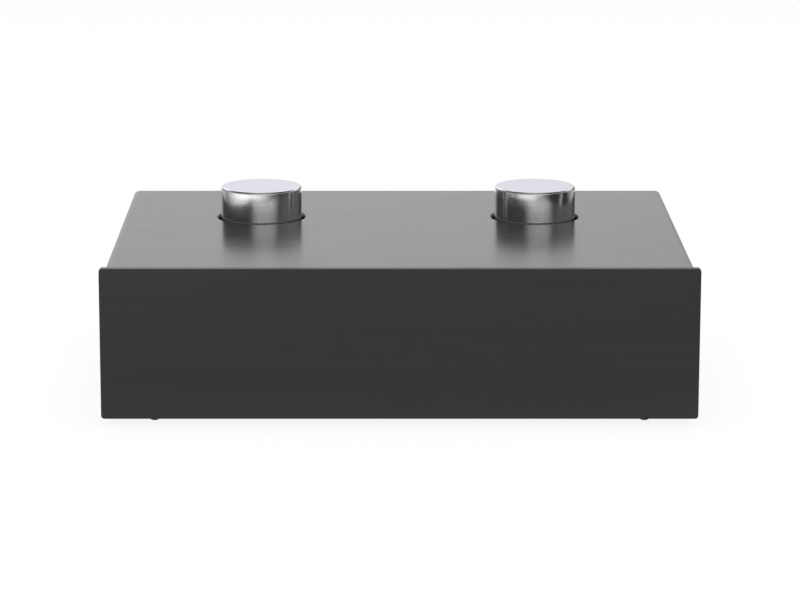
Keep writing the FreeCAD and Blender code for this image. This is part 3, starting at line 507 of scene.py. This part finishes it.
def polished_can_metal(name, centre):
    """Transformer can: bright polished metal with fine turning marks about its own axis. Its flat
    upper face is coloured darker and bluer than the wall, as a painted reflection. Polishing has
    eased the wall towards the rim, by a depth that grows as the square of the height."""
    material, tree, shader = finish_of(name, (0.78, 0.78, 0.8), 1.0, 0.14)
    spot = add(tree, "ShaderNodeMapping", {"Vector": place(tree),
                                           "Location": (-centre[0], -centre[1], 0)}).outputs[0]
    mark = use(tree, spun_group(), Vector=spot)["Mark"]
    smudge = use(tree, smudge_group(), Vector=spot)["Smudge"]
    wall = mix_colour(tree, mark, (0.74, 0.74, 0.745, 1), (0.83, 0.83, 0.835, 1))
    # The flat upper face gets a darker, bluer colour, picked out by the normal's Z: a painted
    # reflection.
    upper_face_painted_reflection = mix_colour(tree, mark, (0.59, 0.59, 0.69, 1), (0.65, 0.65, 0.76, 1))
    up = parts_of(tree, normal(tree))[2]
    feed(tree, shader, Base_Color=mix_colour(tree, span(tree, up, 0.9, 0.98), wall, upper_face_painted_reflection))
    rough = math_node(tree, "ADD", span(tree, mark, 0.3, 0.7, 0.11, 0.16),
                      math_node(tree, "MULTIPLY", smudge, 0.03))
    feed(tree, shader, Roughness=rough)
    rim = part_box("left_can")[1][2] - CAN_RIM
    height = parts_of(tree, spot)[2]
    eased = math_node(tree, "POWER", span(tree, height, rim - CAN_DRAW_LENGTH, rim), 2)
    turned = math_node(tree, "MULTIPLY", mark, CAN_MARK_DEPTH / CAN_DRAW_DEPTH)
    emboss(tree, shader, math_node(tree, "SUBTRACT", turned, eased), CAN_DRAW_DEPTH)
    return material


def metal(name, dark, light, rough_low, rough_high, depth=0.002, scale=1800.0, layers=None):
    """A plated or bare metal: two tones and two roughnesses that drift, over a fine skin. With
    layers (axis, pitch in mm) it is made of wires or sheets laid side by side along that axis,
    its tone darker towards each join as painted shade in the grooves."""
    material, tree, shader = finish_of(name, light, 1.0, rough_low)
    spot = place(tree)
    skin = use(tree, grain_group(), Vector=spot, Scale=scale)
    smudge = use(tree, smudge_group(), Vector=spot)["Smudge"]
    tone, height, relief = skin["Drift"], skin["Grain"], depth
    if layers is not None:
        along_stack = parts_of(tree, spot)[layers[0]]
        turn = math_node(tree, "MULTIPLY", along_stack, math.pi / (layers[1] * MM))
        round_back = math_node(tree, "ABSOLUTE", math_node(tree, "SINE", turn))
        # Darker towards each join between layers: painted shade in the grooves.
        tone = math_node(tree, "MULTIPLY", tone, span(tree, round_back, 0, 0.5))
        height, relief = math_node(tree, "SQRT", round_back), layers[1] * LAYER_RELIEF
    feed(tree, shader, Base_Color=mix_colour(tree, tone, (*dark, 1), (*light, 1)))
    feed(tree, shader, Roughness=span(tree, smudge, 0, 1, rough_low, rough_high))
    emboss(tree, shader, height, relief * MM)
    return material


def moulded(name, dark, light, rough_low, rough_high, depth=0.004, scale=2200.0, dust=0.15):
    """A moulded plastic, rubber or lacquer: two tones, a fine skin and a little dust."""
    material, tree, shader = finish_of(name, light, 0.0, rough_low)
    spot = place(tree)
    skin = use(tree, grain_group(), Vector=spot, Scale=scale)
    specks = use(tree, dust_group(), Vector=spot, Normal=normal(tree), Amount=dust)["Dust"]
    body = mix_colour(tree, skin["Drift"], (*dark, 1), (*light, 1))
    feed(tree, shader, Base_Color=mix_colour(tree, specks, body, (0.45, 0.44, 0.42, 1)))
    feed(tree, shader, Roughness=span(tree, skin["Drift"], 0, 1, rough_low, rough_high))
    emboss(tree, shader, skin["Grain"], depth * MM)
    return material


FINISH = {
    "dark_anodised": brushed_black_anodise(),
    "black_paint": satin_black_paint("black_paint"),
    "zinc_sheet": metal("zinc_sheet", (0.5, 0.51, 0.53), (0.66, 0.67, 0.69), 0.28, 0.42),
    "zinc_screw": metal("zinc_screw", (0.58, 0.58, 0.6), (0.72, 0.72, 0.73), 0.18, 0.3),
    "black_screw": metal("black_screw", (0.03, 0.03, 0.032), (0.05, 0.05, 0.052), 0.3, 0.42),
    "black_rubber": moulded("black_rubber", (0.018, 0.018, 0.018), (0.03, 0.03, 0.03), 0.7, 0.85),
    "board_laminate": moulded("board_laminate", (0.012, 0.075, 0.03), (0.02, 0.11, 0.045),
                              0.3, 0.4),
    "nickel_brass": metal("nickel_brass", (0.6, 0.57, 0.5), (0.72, 0.69, 0.62), 0.15, 0.28),
    "tinned_brass": metal("tinned_brass", (0.62, 0.62, 0.62), (0.76, 0.76, 0.76), 0.22, 0.36),
    "shield_metal": metal("shield_metal", (0.42, 0.41, 0.39), (0.56, 0.55, 0.52), 0.35, 0.5),
    "core_lamination": metal("core_lamination", (0.2, 0.2, 0.21), (0.42, 0.41, 0.4), 0.35, 0.5,
                             layers=(1, 0.35)),
    "bobbin_nylon": moulded("bobbin_nylon", (0.72, 0.7, 0.62), (0.8, 0.78, 0.7), 0.4, 0.5),
    "copper_wire": metal("copper_wire", (0.4, 0.13, 0.05), (0.78, 0.34, 0.15), 0.2, 0.32,
                         layers=(2, 0.22)),
    "base_phenolic": moulded("base_phenolic", (0.1, 0.045, 0.02), (0.16, 0.075, 0.035), 0.4, 0.5),
    "socket_black": moulded("socket_black", (0.012, 0.012, 0.012), (0.022, 0.022, 0.022),
                            0.38, 0.5),
    "gold_plate": metal("gold_plate", (0.83, 0.55, 0.2), (0.95, 0.7, 0.32), 0.12, 0.22, 0.0012),
    "insert_white": moulded("insert_white", (0.7, 0.7, 0.68), (0.8, 0.8, 0.78), 0.3, 0.4),
    "insert_red": moulded("insert_red", (0.4, 0.008, 0.008), (0.55, 0.014, 0.012), 0.3, 0.4),
    "resistor_lacquer": moulded("resistor_lacquer", (0.08, 0.2, 0.4), (0.12, 0.27, 0.5),
                                0.25, 0.35),
    "capacitor_case": moulded("capacitor_case", (0.4, 0.02, 0.015), (0.52, 0.03, 0.02), 0.25, 0.35),
}
COVER_HOLE = (*middle("right_can")[:2], (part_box("left_can")[1][0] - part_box("left_can")[0][0]) / 2
              + CAN_HOLE_GAP)
COVER_FINISH = satin_black_paint("cover_paint", COVER_HOLE)
CAN_FINISH = {
    channel: polished_can_metal("polished_can_" + channel, middle(channel + "_can"))
    for channel in ("left", "right")
}


# Case

def front_panel():
    """Plate with rounded corners and softened edges: rounded rings at the insets and depths of its
    section, closed flat in front and behind."""
    low, high = (np.array(corner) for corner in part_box("front_panel"))
    section = rounded_line(
        [(PANEL_CORNER, high[1]), (0, high[1]), (0, low[1]), (PANEL_CORNER, low[1])],
        [0, PANEL_BACK_EDGE, PANEL_EDGE, 0], steps=6,
    )
    inset, depth = section.T
    flat = rounded_rings(low[[0, 2]], high[[0, 2]], PANEL_CORNER, inset, 10)
    level = np.broadcast_to(depth[:, None], flat.shape[:2])
    points = np.stack([flat[..., 0], level, flat[..., 1]], -1)
    plate = make_piece("front_panel_plate", [grid_shell(points, caps=(0, -1))], "dark_anodised",
                       "case", ["front_panel"])
    true_flats(plate)


def punched_sheet(across, back, holes):
    """Flat sheet on the lines of a grid, as (points, faces). The cell round each hole (u, v, r) is
    four faces between the cell's corners and a quarter of the circle each."""
    points = [(u, v) for v in back for u in across]
    cell_of = {}
    for u, v, radius in holes:
        cell_of[(np.searchsorted(across, u) - 1, np.searchsorted(back, v) - 1)] = (u, v, radius)
    faces = []
    width = len(across)
    for row in range(len(back) - 1):
        for column in range(width - 1):
            start = row * width + column
            corners = [start, start + 1, start + 1 + width, start + width]
            if (column, row) not in cell_of:
                faces.append(corners)
                continue
            u, v, radius = cell_of[(column, row)]
            steps = 24
            turn = np.radians(-135) + np.linspace(0, 2 * math.pi, 4 * steps, endpoint=False)
            ring = len(points) + np.arange(4 * steps)
            points += list(zip(u + radius * np.cos(turn), v + radius * np.sin(turn)))
            for quarter in range(4):
                arc = [int(ring[(quarter * steps + k) % (4 * steps)]) for k in range(steps, -1, -1)]
                faces.append([corners[quarter], corners[(quarter + 1) % 4]] + arc)
    return np.array(points), faces


def top_cover():
    """Sheet punched flat and folded over: P(u, v) = (x(u), v, z(u)), where x and z follow the
    section's path of three flats and two arcs by its length u. Its thickness and cut edges are
    modifiers."""
    low, high = (np.array(corner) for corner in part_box("top_cover"))
    path = rounded_line(
        [(low[0], low[2]), (low[0], high[2]), (high[0], high[2]), (high[0], low[2])],
        COVER_BEND, steps=9,
    )
    length = np.concatenate([[0], np.cumsum(np.linalg.norm(np.diff(path, axis=0), axis=1))])
    top_middle = length[-1] / 2
    can_x, can_y, hole = COVER_HOLE
    cell = hole + COVER_HOLE_MARGIN
    holes = [(top_middle - can_x, can_y, hole), (top_middle + can_x, can_y, hole)]
    across = set(length) | {centre + side * cell for centre, _, _ in holes for side in (-1, 1)}
    across = np.array(sorted(across))
    back = np.array([low[1], can_y - cell, can_y + cell, high[1]])
    flat, faces = punched_sheet(across, back, holes)
    x, z = (np.interp(flat[:, 0], length, path[:, k]) for k in (0, 1))
    points = np.stack([x, flat[:, 1], z], -1)
    cover = make_piece("folded_cover", [(points, faces)], "black_paint", "case", ["top_cover"],
                       material=COVER_FINISH)
    inward = np.mean([f.normal.z for f in cover.data.polygons if abs(f.normal.z) > 0.9]) < 0
    if inward:
        cover.data.flip_normals()
    wall = cover.modifiers.new("sheet", "SOLIDIFY")
    wall.thickness = COVER_SHEET
    wall.offset = -1
    edge = cover.modifiers.new("cut_edge", "BEVEL")
    edge.width = COVER_CUT_EDGE
    edge.segments = 3
    edge.limit_method = "ANGLE"
    edge.angle_limit = math.radians(60)
    true_flats(cover)


def transformer_can(channel):
    """Deep-drawn cup with a rounded rim, open below: its section (r(s), z(s)) turned about the
    can's axis."""
    low, high = (np.array(corner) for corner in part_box(channel + "_can"))
    radius = (high[0] - low[0]) / 2
    inside = radius - CAN_WALL
    profile = rounded_line([
        (0, high[2]), (radius, high[2]), (radius, low[2]), (inside, low[2]),
        (inside, high[2] - CAN_WALL), (0, high[2] - CAN_WALL),
    ], [0, CAN_RIM, CAN_LIP_EDGE, CAN_LIP_EDGE, CAN_INNER_RIM, 0], steps=14)
    centre = [*middle(channel + "_can")[:2], 0]
    cup = make_piece(channel + "_polished_can", [lathe(profile, centre, around=192)],
                     "polished_can", "case", [channel + "_can"], material=CAN_FINISH[channel])
    true_flats(cup)


def rubber_feet():
    """Four domed bumpers: a turned arc of a sphere cut flat where it stands."""
    low, high = (np.array(corner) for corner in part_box("rubber_feet"))
    height, rim = high[2], high[2] - FOOT_RIM_HEIGHT
    profile = rounded_line([
        (0, height), (FOOT_RADIUS, height), (FOOT_RADIUS, rim), (2.55 * MM, 0.75 * MM),
        (FOOT_FLAT_RADIUS, 0), (0, 0),
    ], [0, 0.15 * MM, 0.8 * MM, 1.1 * MM, 0.5 * MM, 0], steps=8)
    shells = []
    for x in (low[0] + FOOT_INSET, high[0] - FOOT_INSET):
        for y in (low[1] + FOOT_SETBACK, high[1] - FOOT_SETBACK):
            shells.append(lathe(profile, (x, y, 0), around=40))
    make_piece("rubber_bumpers", shells, "black_rubber", "case", ["rubber_feet"])


# Screws

def lobes(radius, depth, count):
    """Radius of a rounded star: r + d cos(count t)."""
    return lambda turn: radius + depth * np.cos(count * turn)


def screw_shell(seat, outward, shank_end, lobe_count=6):
    """Pan-head screw with a rounded-star recess: rings run from the recess floor, up its wall, over
    the head and down the shank. They blend from star to circle by a weight k(s):
    r(s, t) = r(s) (1 - k(s) + k(s) star(t))."""
    recess, head, height = RECESS_RADIUS, HEAD_RADIUS, HEAD_HEIGHT
    star = lobes(1.0, 0.13, lobe_count)
    # Radius, height and weight of the star
    rings = [
        (0, 0.35 * height, 1), (0.7 * recess, 0.35 * height, 1), (recess, 0.37 * height, 1),
        (recess * 1.01, 0.9 * height, 1), (recess * 1.06, 0.96 * height, 1),
        (recess * 1.28, 0.985 * height, 0.3), (1.95 * MM, 0.96 * height, 0),
        (2.3 * MM, 0.86 * height, 0), (2.55 * MM, 0.68 * height, 0), (2.67 * MM, 0.45 * height, 0),
        (head, 0.2 * height, 0), (head, 0.04 * height, 0), (2.62 * MM, 0, 0), (SHANK_RADIUS, 0, 0),
        (SHANK_RADIUS, shank_end + SHANK_TIP, 0), (SHANK_RADIUS - SHANK_TIP, shank_end, 0),
        (0, shank_end, 0),
    ]
    radius, level, weight = np.array(rings).T

    def reach(ring_radius, _height, turn):
        share = weight[:, None]
        return ring_radius * (1 - share + share * star(turn))

    return lathe(np.stack([radius, level], -1), seat, outward, around=60, reach=reach)


def side_screws():
    """The four screws through the sides of the cover."""
    low, high = (np.array(corner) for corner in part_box("cover_screws"))
    cover_low, cover_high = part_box("top_cover")
    z = (low[2] + high[2]) / 2
    shells = []
    for side, face in ((-1, cover_low[0]), (1, cover_high[0])):
        for y in (low[1] + HEAD_RADIUS, high[1] - HEAD_RADIUS):
            shells.append(screw_shell((face, y, z), (side, 0, 0), PANEL_SHANK_END))
    make_piece("cover_side_screws", shells, "black_screw", "case", ["cover_screws"])


def rear_screws():
    """Three screws along the foot of the rear panel, and one under each socket."""
    low, high = (np.array(corner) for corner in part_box("rear_panel_screws"))
    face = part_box("rear_panel")[1][1]
    z = (low[2] + high[2]) / 2
    shells = [screw_shell((x, face, z), (0, 1, 0), PANEL_SHANK_END)
              for x in (low[0] + HEAD_RADIUS, 0, high[0] - HEAD_RADIUS)]
    make_piece("rear_edge_screws", shells, "black_screw", "case", ["rear_panel_screws"])
    low, high = (np.array(corner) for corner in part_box("socket_screws"))
    z = (low[2] + high[2]) / 2
    shells = [screw_shell((x, face, z), (0, 1, 0), SOCKET_SHANK_END, 4)
              for x in SOCKET_X.values()]
    make_piece("socket_fixing_screws", shells, "black_screw", "case", ["socket_screws"])


# Sockets and earth posts

SOCKET_X = {
    group + "_" + channel: middle(group + "_" + channel + "_socket_barrel")[0]
    for group in ("input", "output") for channel in ("left", "right")
}
SOCKET_Z = middle("input_earth_washer")[2]
CHANNEL_INSERT = {"left": "insert_white", "right": "insert_red"}


def arc_leaf(outline, centre, axis, start, sweep, steps=14):
    """Part of a ring: the closed outline of (r, h) points carried through an angle about an axis,
    closed at both ends."""
    turn = start + sweep * np.linspace(0, 1, steps)[:, None]
    radius, height = np.asarray(outline, float).T[:, None, :]
    return grid_shell(carried(radius, height, turn, centre, axis), caps=(0, -1))


def phono_socket(name):
    """Gold sleeve with its ring and tail, coloured insert, and a centre contact split into four."""
    x = SOCKET_X[name]
    centre, axis = (x, 0, SOCKET_Z), (0, 1, 0)
    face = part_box("rear_panel")[1][1]
    low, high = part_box(name + "_socket_barrel")
    end, tail_foot = high[1], low[2]
    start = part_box(name + "_socket_insulator")[0][1]
    root, ring_end = face + BOSS_PROUD, start + SLEEVE_RING_THICKNESS
    sleeve = rounded_line([
        (SLEEVE_BORE, start), (SLEEVE_RING_RADIUS, start), (SLEEVE_RING_RADIUS, ring_end),
        (SLEEVE_ROOT_RADIUS, ring_end), (SLEEVE_ROOT_RADIUS, root), (SLEEVE_RADIUS, root),
        (SLEEVE_RADIUS, end), (SLEEVE_BORE, end),
    ], np.array([0.1, 0.1, 0.1, 0.05, 0.12, 0.08, 0.32, 0.16]) * MM, steps=7, closed=True)
    tail = rounded_box((x - TAIL_HALF_WIDTH, start + 0.25 * MM, tail_foot),
                       (x + TAIL_HALF_WIDTH, start + 0.75 * MM, SOCKET_Z - 3.8 * MM), TAIL_EDGE)
    make_piece(name + "_sleeve", [lathe(sleeve, centre, axis, 96, loop=True), tail],
               "gold_plate", "case", [name + "_socket_barrel"])

    front = end - INSERT_RECESS
    insert_bore, groove = CONTACT_RADIUS + 0.05 * MM, front - INSERT_GROOVE_DEPTH
    insert = rounded_line([
        (insert_bore, start), (INSERT_RADIUS, start), (INSERT_RADIUS, front), (3.12 * MM, front),
        (3.02 * MM, groove), (2.74 * MM, groove), (2.64 * MM, front), (insert_bore, front),
    ], np.array([0.05, 0.1, 0.12, 0.06, 0.06, 0.06, 0.06, 0.08]) * MM, steps=5, closed=True)
    make_piece(name + "_insert", [lathe(insert, centre, axis, 80, loop=True)],
               CHANNEL_INSERT[name.split("_")[1]], "case", [name + "_socket_insulator"])

    back, foot = (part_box(name + "_socket_contact")[0][k] for k in (1, 2))
    solid_end = back + CONTACT_END_GAP
    bore_end, slit_end = front - CONTACT_BORE_DEPTH, front - SLIT_LENGTH
    barrel = rounded_line([
        (0, solid_end), (CONTACT_RADIUS, solid_end), (CONTACT_RADIUS, slit_end),
        (CONTACT_BORE, slit_end), (CONTACT_BORE, bore_end), (0, bore_end),
    ], np.array([0, 0.1, 0.02, 0.02, 0.2, 0]) * MM, steps=5)
    leaf_root, flare = slit_end - 0.05 * MM, 0.3 * MM
    leaf = rounded_line([
        (CONTACT_BORE, leaf_root), (CONTACT_RADIUS, leaf_root), (CONTACT_RADIUS, front),
        (CONTACT_BORE + flare, front), (CONTACT_BORE, front - flare),
    ], np.array([0.01, 0.01, 0.14, 0.08, 0.12]) * MM, steps=5, closed=True)
    slit = SLIT_WIDTH / CONTACT_BORE
    leaves = [arc_leaf(leaf, centre, axis, quarter * math.pi / 2 + slit / 2, math.pi / 2 - slit)
              for quarter in range(4)]
    tail = rounded_box((x - TAIL_HALF_WIDTH, back, foot),
                       (x + TAIL_HALF_WIDTH, solid_end, SOCKET_Z + TAIL_HALF_WIDTH), TAIL_EDGE)
    make_piece(name + "_centre_contact", [lathe(barrel, centre, axis, 64)] + leaves + [tail],
               "gold_plate", "case", [name + "_socket_contact"])


def threaded(base_radius, height, turn, share):
    """Rounded thread: r = R - depth share (1 + cos(2 pi h / pitch - t)) / 2."""
    wave = (1 + np.cos(2 * math.pi * height / POST_THREAD_PITCH - turn)) / 2
    return base_radius - POST_THREAD_DEPTH * share * wave


def earth_post(group):
    """Threaded stud with a plain collar against the rear panel."""
    x = middle(group + "_earth_post")[0]
    low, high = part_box(group + "_earth_post")
    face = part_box("rear_panel")[1][1]
    radius, collar, chamfer = POST_RADIUS, COLLAR_RADIUS, POST_TIP
    collar_end = face + COLLAR_THICKNESS

    def run(start, end):
        height = np.arange(start, end, POST_THREAD_PITCH / 10)
        return np.stack([np.full_like(height, radius), height, np.ones_like(height)], -1)

    rings = np.concatenate([
        [(0, low[1], 0), (radius - chamfer, low[1], 0)],
        run(low[1] + chamfer, face - 0.2 * MM),
        [(radius, face, 0), (collar - 0.25 * MM, face, 0), (collar, face + 0.25 * MM, 0),
         (collar, collar_end - 0.35 * MM, 0), (collar - 0.35 * MM, collar_end, 0),
         (radius, collar_end, 0)],
        run(collar_end + 0.3 * MM, high[1] - chamfer),
        [(radius - chamfer, high[1], 0), (0, high[1], 0)],
    ])
    share = rings[:, 2][:, None]

    def reach(ring_radius, height, turn):
        return threaded(ring_radius, height, turn, share)

    shell = lathe(rings[:, :2], (x, 0, SOCKET_Z), (0, 1, 0), 40, reach=reach)
    make_piece(group + "_threaded_post", [shell], "gold_plate", "case", [group + "_earth_post"])


def earth_washer(group):
    """Flat washer with rounded edges."""
    low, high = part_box(group + "_earth_washer")
    rim = (high[0] - low[0]) / 2
    outline = rounded_line([
        (WASHER_BORE, low[1]), (rim, low[1]), (rim, high[1]), (WASHER_BORE, high[1]),
    ], np.array([0.12, 0.22, 0.22, 0.12]) * MM, steps=6, closed=True)
    x = (low[0] + high[0]) / 2
    make_piece(group + "_washer_ring", [lathe(outline, (x, 0, SOCKET_Z), (0, 1, 0), 80, loop=True)],
               "gold_plate", group + "_washer", [group + "_earth_washer"])


def earth_thumb_nut(group):
    """Fluted thumb nut: r(h, t) = R(h) - depth f(h) (0.5 + 0.5 cos(count t))^1.3, where f(h) is 1
    along the grip and 0 on the neck and the end face."""
    low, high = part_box(group + "_earth_thumb_nut")
    bore, neck, grip, length = NUT_BORE, NUT_NECK_RADIUS, NUT_GRIP_RADIUS, high[1] - low[1]
    # Radius, height in millimetres and depth of the flutes
    rings = np.array([
        (bore, 0.3, 0), (bore + 0.3 * MM, 0, 0), (neck - 0.2 * MM, 0, 0), (neck, 0.2, 0),
        (neck, 1.4, 0), (neck + 0.15 * MM, 1.6, 0), (grip - 0.6 * MM, 1.6, 0.3),
        (grip - 0.3 * MM, 1.72, 0.7), (grip - 0.08 * MM, 1.95, 1), (grip, 2.3, 1),
        (grip, 4.0, 1), (grip, 5.8, 1), (grip, 7.4, 1), (grip - 0.08 * MM, 7.72, 1),
        (grip - 0.3 * MM, 7.92, 0.7), (grip - 0.6 * MM, 8.0, 0.3), (grip - 1.1 * MM, 8.0, 0),
        (grip - 1.2 * MM, 7.92, 0), (bore + 0.9 * MM, 7.92, 0), (bore + 0.8 * MM, 8.0, 0),
        (bore + 0.3 * MM, 8.0, 0), (bore, 7.7, 0), (bore, 4.0, 0),
    ])
    share = rings[:, 2][:, None]

    def reach(ring_radius, _height, turn):
        wave = (0.5 + 0.5 * np.cos(FLUTE_COUNT * turn)) ** 1.3
        return ring_radius - FLUTE_DEPTH * share * wave

    profile = np.stack([rings[:, 0], low[1] + rings[:, 1] * MM * (length / NUT_LENGTH)], -1)
    x = (low[0] + high[0]) / 2
    shell = lathe(profile, (x, 0, SOCKET_Z), (0, 1, 0), FLUTE_COUNT * 12, reach=reach, loop=True)
    make_piece(group + "_fluted_nut", [shell], "gold_plate", group + "_nut",
               [group + "_earth_thumb_nut"])


# Camera, floor and light

def photo_camera():
    """The photograph's eye: a long lens, looking down on the middle of the front panel."""
    camera = bpy.data.cameras.new("photo_camera")
    camera.lens = 146.63
    camera.sensor_width = 36
    camera.shift_x = 0.0299
    camera.clip_start = 0.05
    camera.clip_end = 20
    eye = bpy.data.objects.new("photo_camera", camera)
    eye.location = (-0.00815, -1.1695, 0.28637)
    eye.rotation_euler = (math.radians(90 - 12.535), 0, 0)
    bpy.context.scene.collection.objects.link(eye)
    bpy.context.scene.camera = eye


def soft_box(name, place_at, aim, size, power):
    """A rectangular lamp aimed at a point, unseen by the eye and by gloss."""
    lamp = bpy.data.lights.new(name, "AREA")
    lamp.shape = "RECTANGLE"
    lamp.size, lamp.size_y = size
    lamp.energy = power
    holder = bpy.data.objects.new(name, lamp)
    holder.location = place_at
    toward = Vector(aim) - holder.location
    holder.rotation_euler = toward.to_track_quat("-Z", "Y").to_euler()
    holder.visible_glossy = False
    holder.visible_camera = False
    bpy.context.scene.collection.objects.link(holder)


def sine(degrees):
    """Sine of an angle in degrees."""
    return math.sin(math.radians(degrees))


def cosine(degrees):
    """Cosine of an angle in degrees."""
    return math.cos(math.radians(degrees))


def reach_towards(tree, vector, azimuth):
    """Length of a level vector along an azimuth: 0 in front of the panel, 90 to its right."""
    way = (sine(azimuth), -cosine(azimuth), 0)
    return vector_node(tree, "DOT_PRODUCT", vector, way, "Value")


def card(tree, facing, height, azimuth, half_width, fade, low, high, soft):
    """Mask of a soft card in the studio: within an angle of an azimuth (None for all round), and
    between two elevations (None for up to the zenith)."""
    mask = soft_step(tree, height, sine(low - soft), sine(low + soft))
    if azimuth is not None:
        wide = soft_step(tree, reach_towards(tree, facing, azimuth), cosine(half_width + fade),
                         cosine(max(half_width - fade, 0)))
        mask = math_node(tree, "MULTIPLY", mask, wide)
    if high is not None:
        below = soft_step(tree, height, sine(high + soft), sine(high - soft))
        mask = math_node(tree, "MULTIPLY", mask, below)
    return mask


# Azimuth, half width, fade, lowest and highest elevation, softness (degrees), strength
STUDIO_CARDS = {
    "backdrop": (189, 18, 18, -60, 37, 18, 0.96),
    "low_front_card": (11, 22, 24, 3.6, 9.8, 2.7, 2.1),
    "upper_front_card": (11, 22, 24, 9.8, 18, 5, 0.42),
    "front_left_window": (-46, 16, 16, 35.5, 38, 19, 1.4),
    "right_screen": (95, 36, 16, 7, 17, 4, 0.28),
    "ring_of_screens": (None, 0, 0, 22, 36, 4, 0.5),
    "rear_screens": (180, 62, 24, 18, 34, 4, 0.45),
    "overhead": (None, 0, 0, 74, None, 6, 0.8),
}
DIM_ROOM = 0.03
MATT_LIGHT = 0.55

# Where gloss sees the floor lit: from and to in metres, and the strength
LIT_AZIMUTH = -51
LIT_FRONT_LEFT = (0.05, 1.15, 2.0)
LIT_FAR_BEHIND = (0.1, 0.4, 0.65)
LIT_NEAR_BEHIND = (0.08, 0.16, 1.0)
NEAR_HALF_WIDTH = (0.15, 0.25)
LIT_BEFORE_PANEL = (-0.15, -0.088, 0.62)
UNDER_PANEL = (-0.08, -0.078)
FLOOR_REACH = 6.0
FLOOR_WHITE = 1.04
FLOOR_GLOW_SHARE = 0.85


def pale_studio():
    """White for the eye, a soft level for matt surfaces, a dim room with white cards for gloss."""
    world = bpy.data.worlds.new("pale_studio")
    bpy.context.scene.world = world
    world.use_nodes = True
    tree = world.node_tree
    tree.nodes.clear()
    direction = place(tree)
    height = parts_of(tree, direction)[2]
    facing = vector_node(tree, "NORMALIZE", vector_node(tree, "MULTIPLY", direction, (1, 1, 0)))
    gloss = DIM_ROOM
    for azimuth, half_width, fade, low, high, soft, strength in STUDIO_CARDS.values():
        mask = card(tree, facing, height, azimuth, half_width, fade, low, high, soft)
        gloss = math_node(tree, "ADD", gloss, math_node(tree, "MULTIPLY", mask, strength))
    path = add(tree, "ShaderNodeLightPath").outputs
    seen = math_node(tree, "MAXIMUM", path["Is Camera Ray"], path["Is Transmission Ray"])
    level = add(tree, "ShaderNodeMix", {
        0: path["Is Glossy Ray"], 2: span(tree, seen, 0, 1, MATT_LIGHT, 1.0), 3: gloss,
    })
    sky = add(tree, "ShaderNodeBackground", {"Color": (1, 1, 1, 1), "Strength": level.outputs[0]})
    add(tree, "ShaderNodeOutputWorld", {"Surface": sky.outputs[0]})


def pale_floor():
    """A wide floor that the eye sees as white, with the object's faint shadow. Gloss sees it lit at
    the front left, far behind, close behind the sockets and close before the panel, and dim
    elsewhere."""
    mesh = bpy.data.meshes.new("studio_floor")
    reach = FLOOR_REACH
    corners = [(-reach, -reach, 0), (reach, -reach, 0), (reach, reach, 0), (-reach, reach, 0)]
    mesh.from_pydata(corners, [], [(0, 1, 2, 3)])
    floor = bpy.data.objects.new("studio_floor", mesh)
    bpy.context.scene.collection.objects.link(floor)
    material = bpy.data.materials.new("studio_floor")
    material.use_nodes = True
    tree = material.node_tree
    tree.nodes.clear()
    spot = place(tree)
    across, behind = parts_of(tree, spot)[:2]
    front_left = soft_step(tree, reach_towards(tree, spot, LIT_AZIMUTH), *LIT_FRONT_LEFT[:2])
    lit = math_node(tree, "MULTIPLY", front_left, LIT_FRONT_LEFT[2])
    start, end, strength = LIT_FAR_BEHIND
    lit = math_node(tree, "MAXIMUM", lit, span(tree, behind, start, end, 0, strength))
    beside = math_node(tree, "ABSOLUTE", across)
    for (start, end, strength), edge, (inner, outer) in (
        (LIT_NEAR_BEHIND, beside, NEAR_HALF_WIDTH), (LIT_BEFORE_PANEL, behind, UNDER_PANEL),
    ):
        patch = math_node(tree, "MULTIPLY", span(tree, behind, start, end, 0, strength),
                          span(tree, edge, inner, outer, 1, 0))
        lit = math_node(tree, "MAXIMUM", lit, patch)
    lit = math_node(tree, "ADD", lit, DIM_ROOM)
    path = add(tree, "ShaderNodeLightPath").outputs
    light = add(tree, "ShaderNodeMix", {0: path["Is Glossy Ray"], 2: FLOOR_WHITE, 3: lit})
    matt = add(tree, "ShaderNodeBsdfDiffuse", {"Color": (0.85, 0.85, 0.85, 1)})
    glow = add(tree, "ShaderNodeEmission", {"Color": (1, 1, 1, 1), "Strength": light.outputs[0]})
    seen = math_node(tree, "MULTIPLY", path["Is Camera Ray"], FLOOR_GLOW_SHARE)
    share = math_node(tree, "MAXIMUM", seen, path["Is Glossy Ray"])
    mixed = add(tree, "ShaderNodeMixShader", {0: share, 1: matt.outputs[0], 2: glow.outputs[0]})
    add(tree, "ShaderNodeOutputMaterial", {"Surface": mixed.outputs[0]})
    mesh.materials.append(material)


def keep_cad_nodes():
    """Give every node that stays its finish, by the record's slot."""
    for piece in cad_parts.values():
        if piece.hide_render:
            continue
        slot_name = piece.data.materials[0].name.split(".")[0]
        if slot_name in FINISH:
            for index in range(len(piece.data.materials)):
                piece.data.materials[index] = FINISH[slot_name]


front_panel()
top_cover()
transformer_can("left")
transformer_can("right")
rubber_feet()
side_screws()
rear_screws()
for socket_name in SOCKET_X:
    phono_socket(socket_name)
for post_group in ("input", "output"):
    earth_post(post_group)
    earth_washer(post_group)
    earth_thumb_nut(post_group)
keep_cad_nodes()
photo_camera()
soft_box("overhead_box", (0.0, 0.1, 1.6), (0, 0, 0), (1.6, 1.2), 14)
soft_box("front_box", (-0.25, -2.5, 0.7), (0, 0, 0.03), (1.6, 1.0), 17)
pale_studio()
pale_floor()
bpy.context.scene.view_settings.view_transform = "Standard"
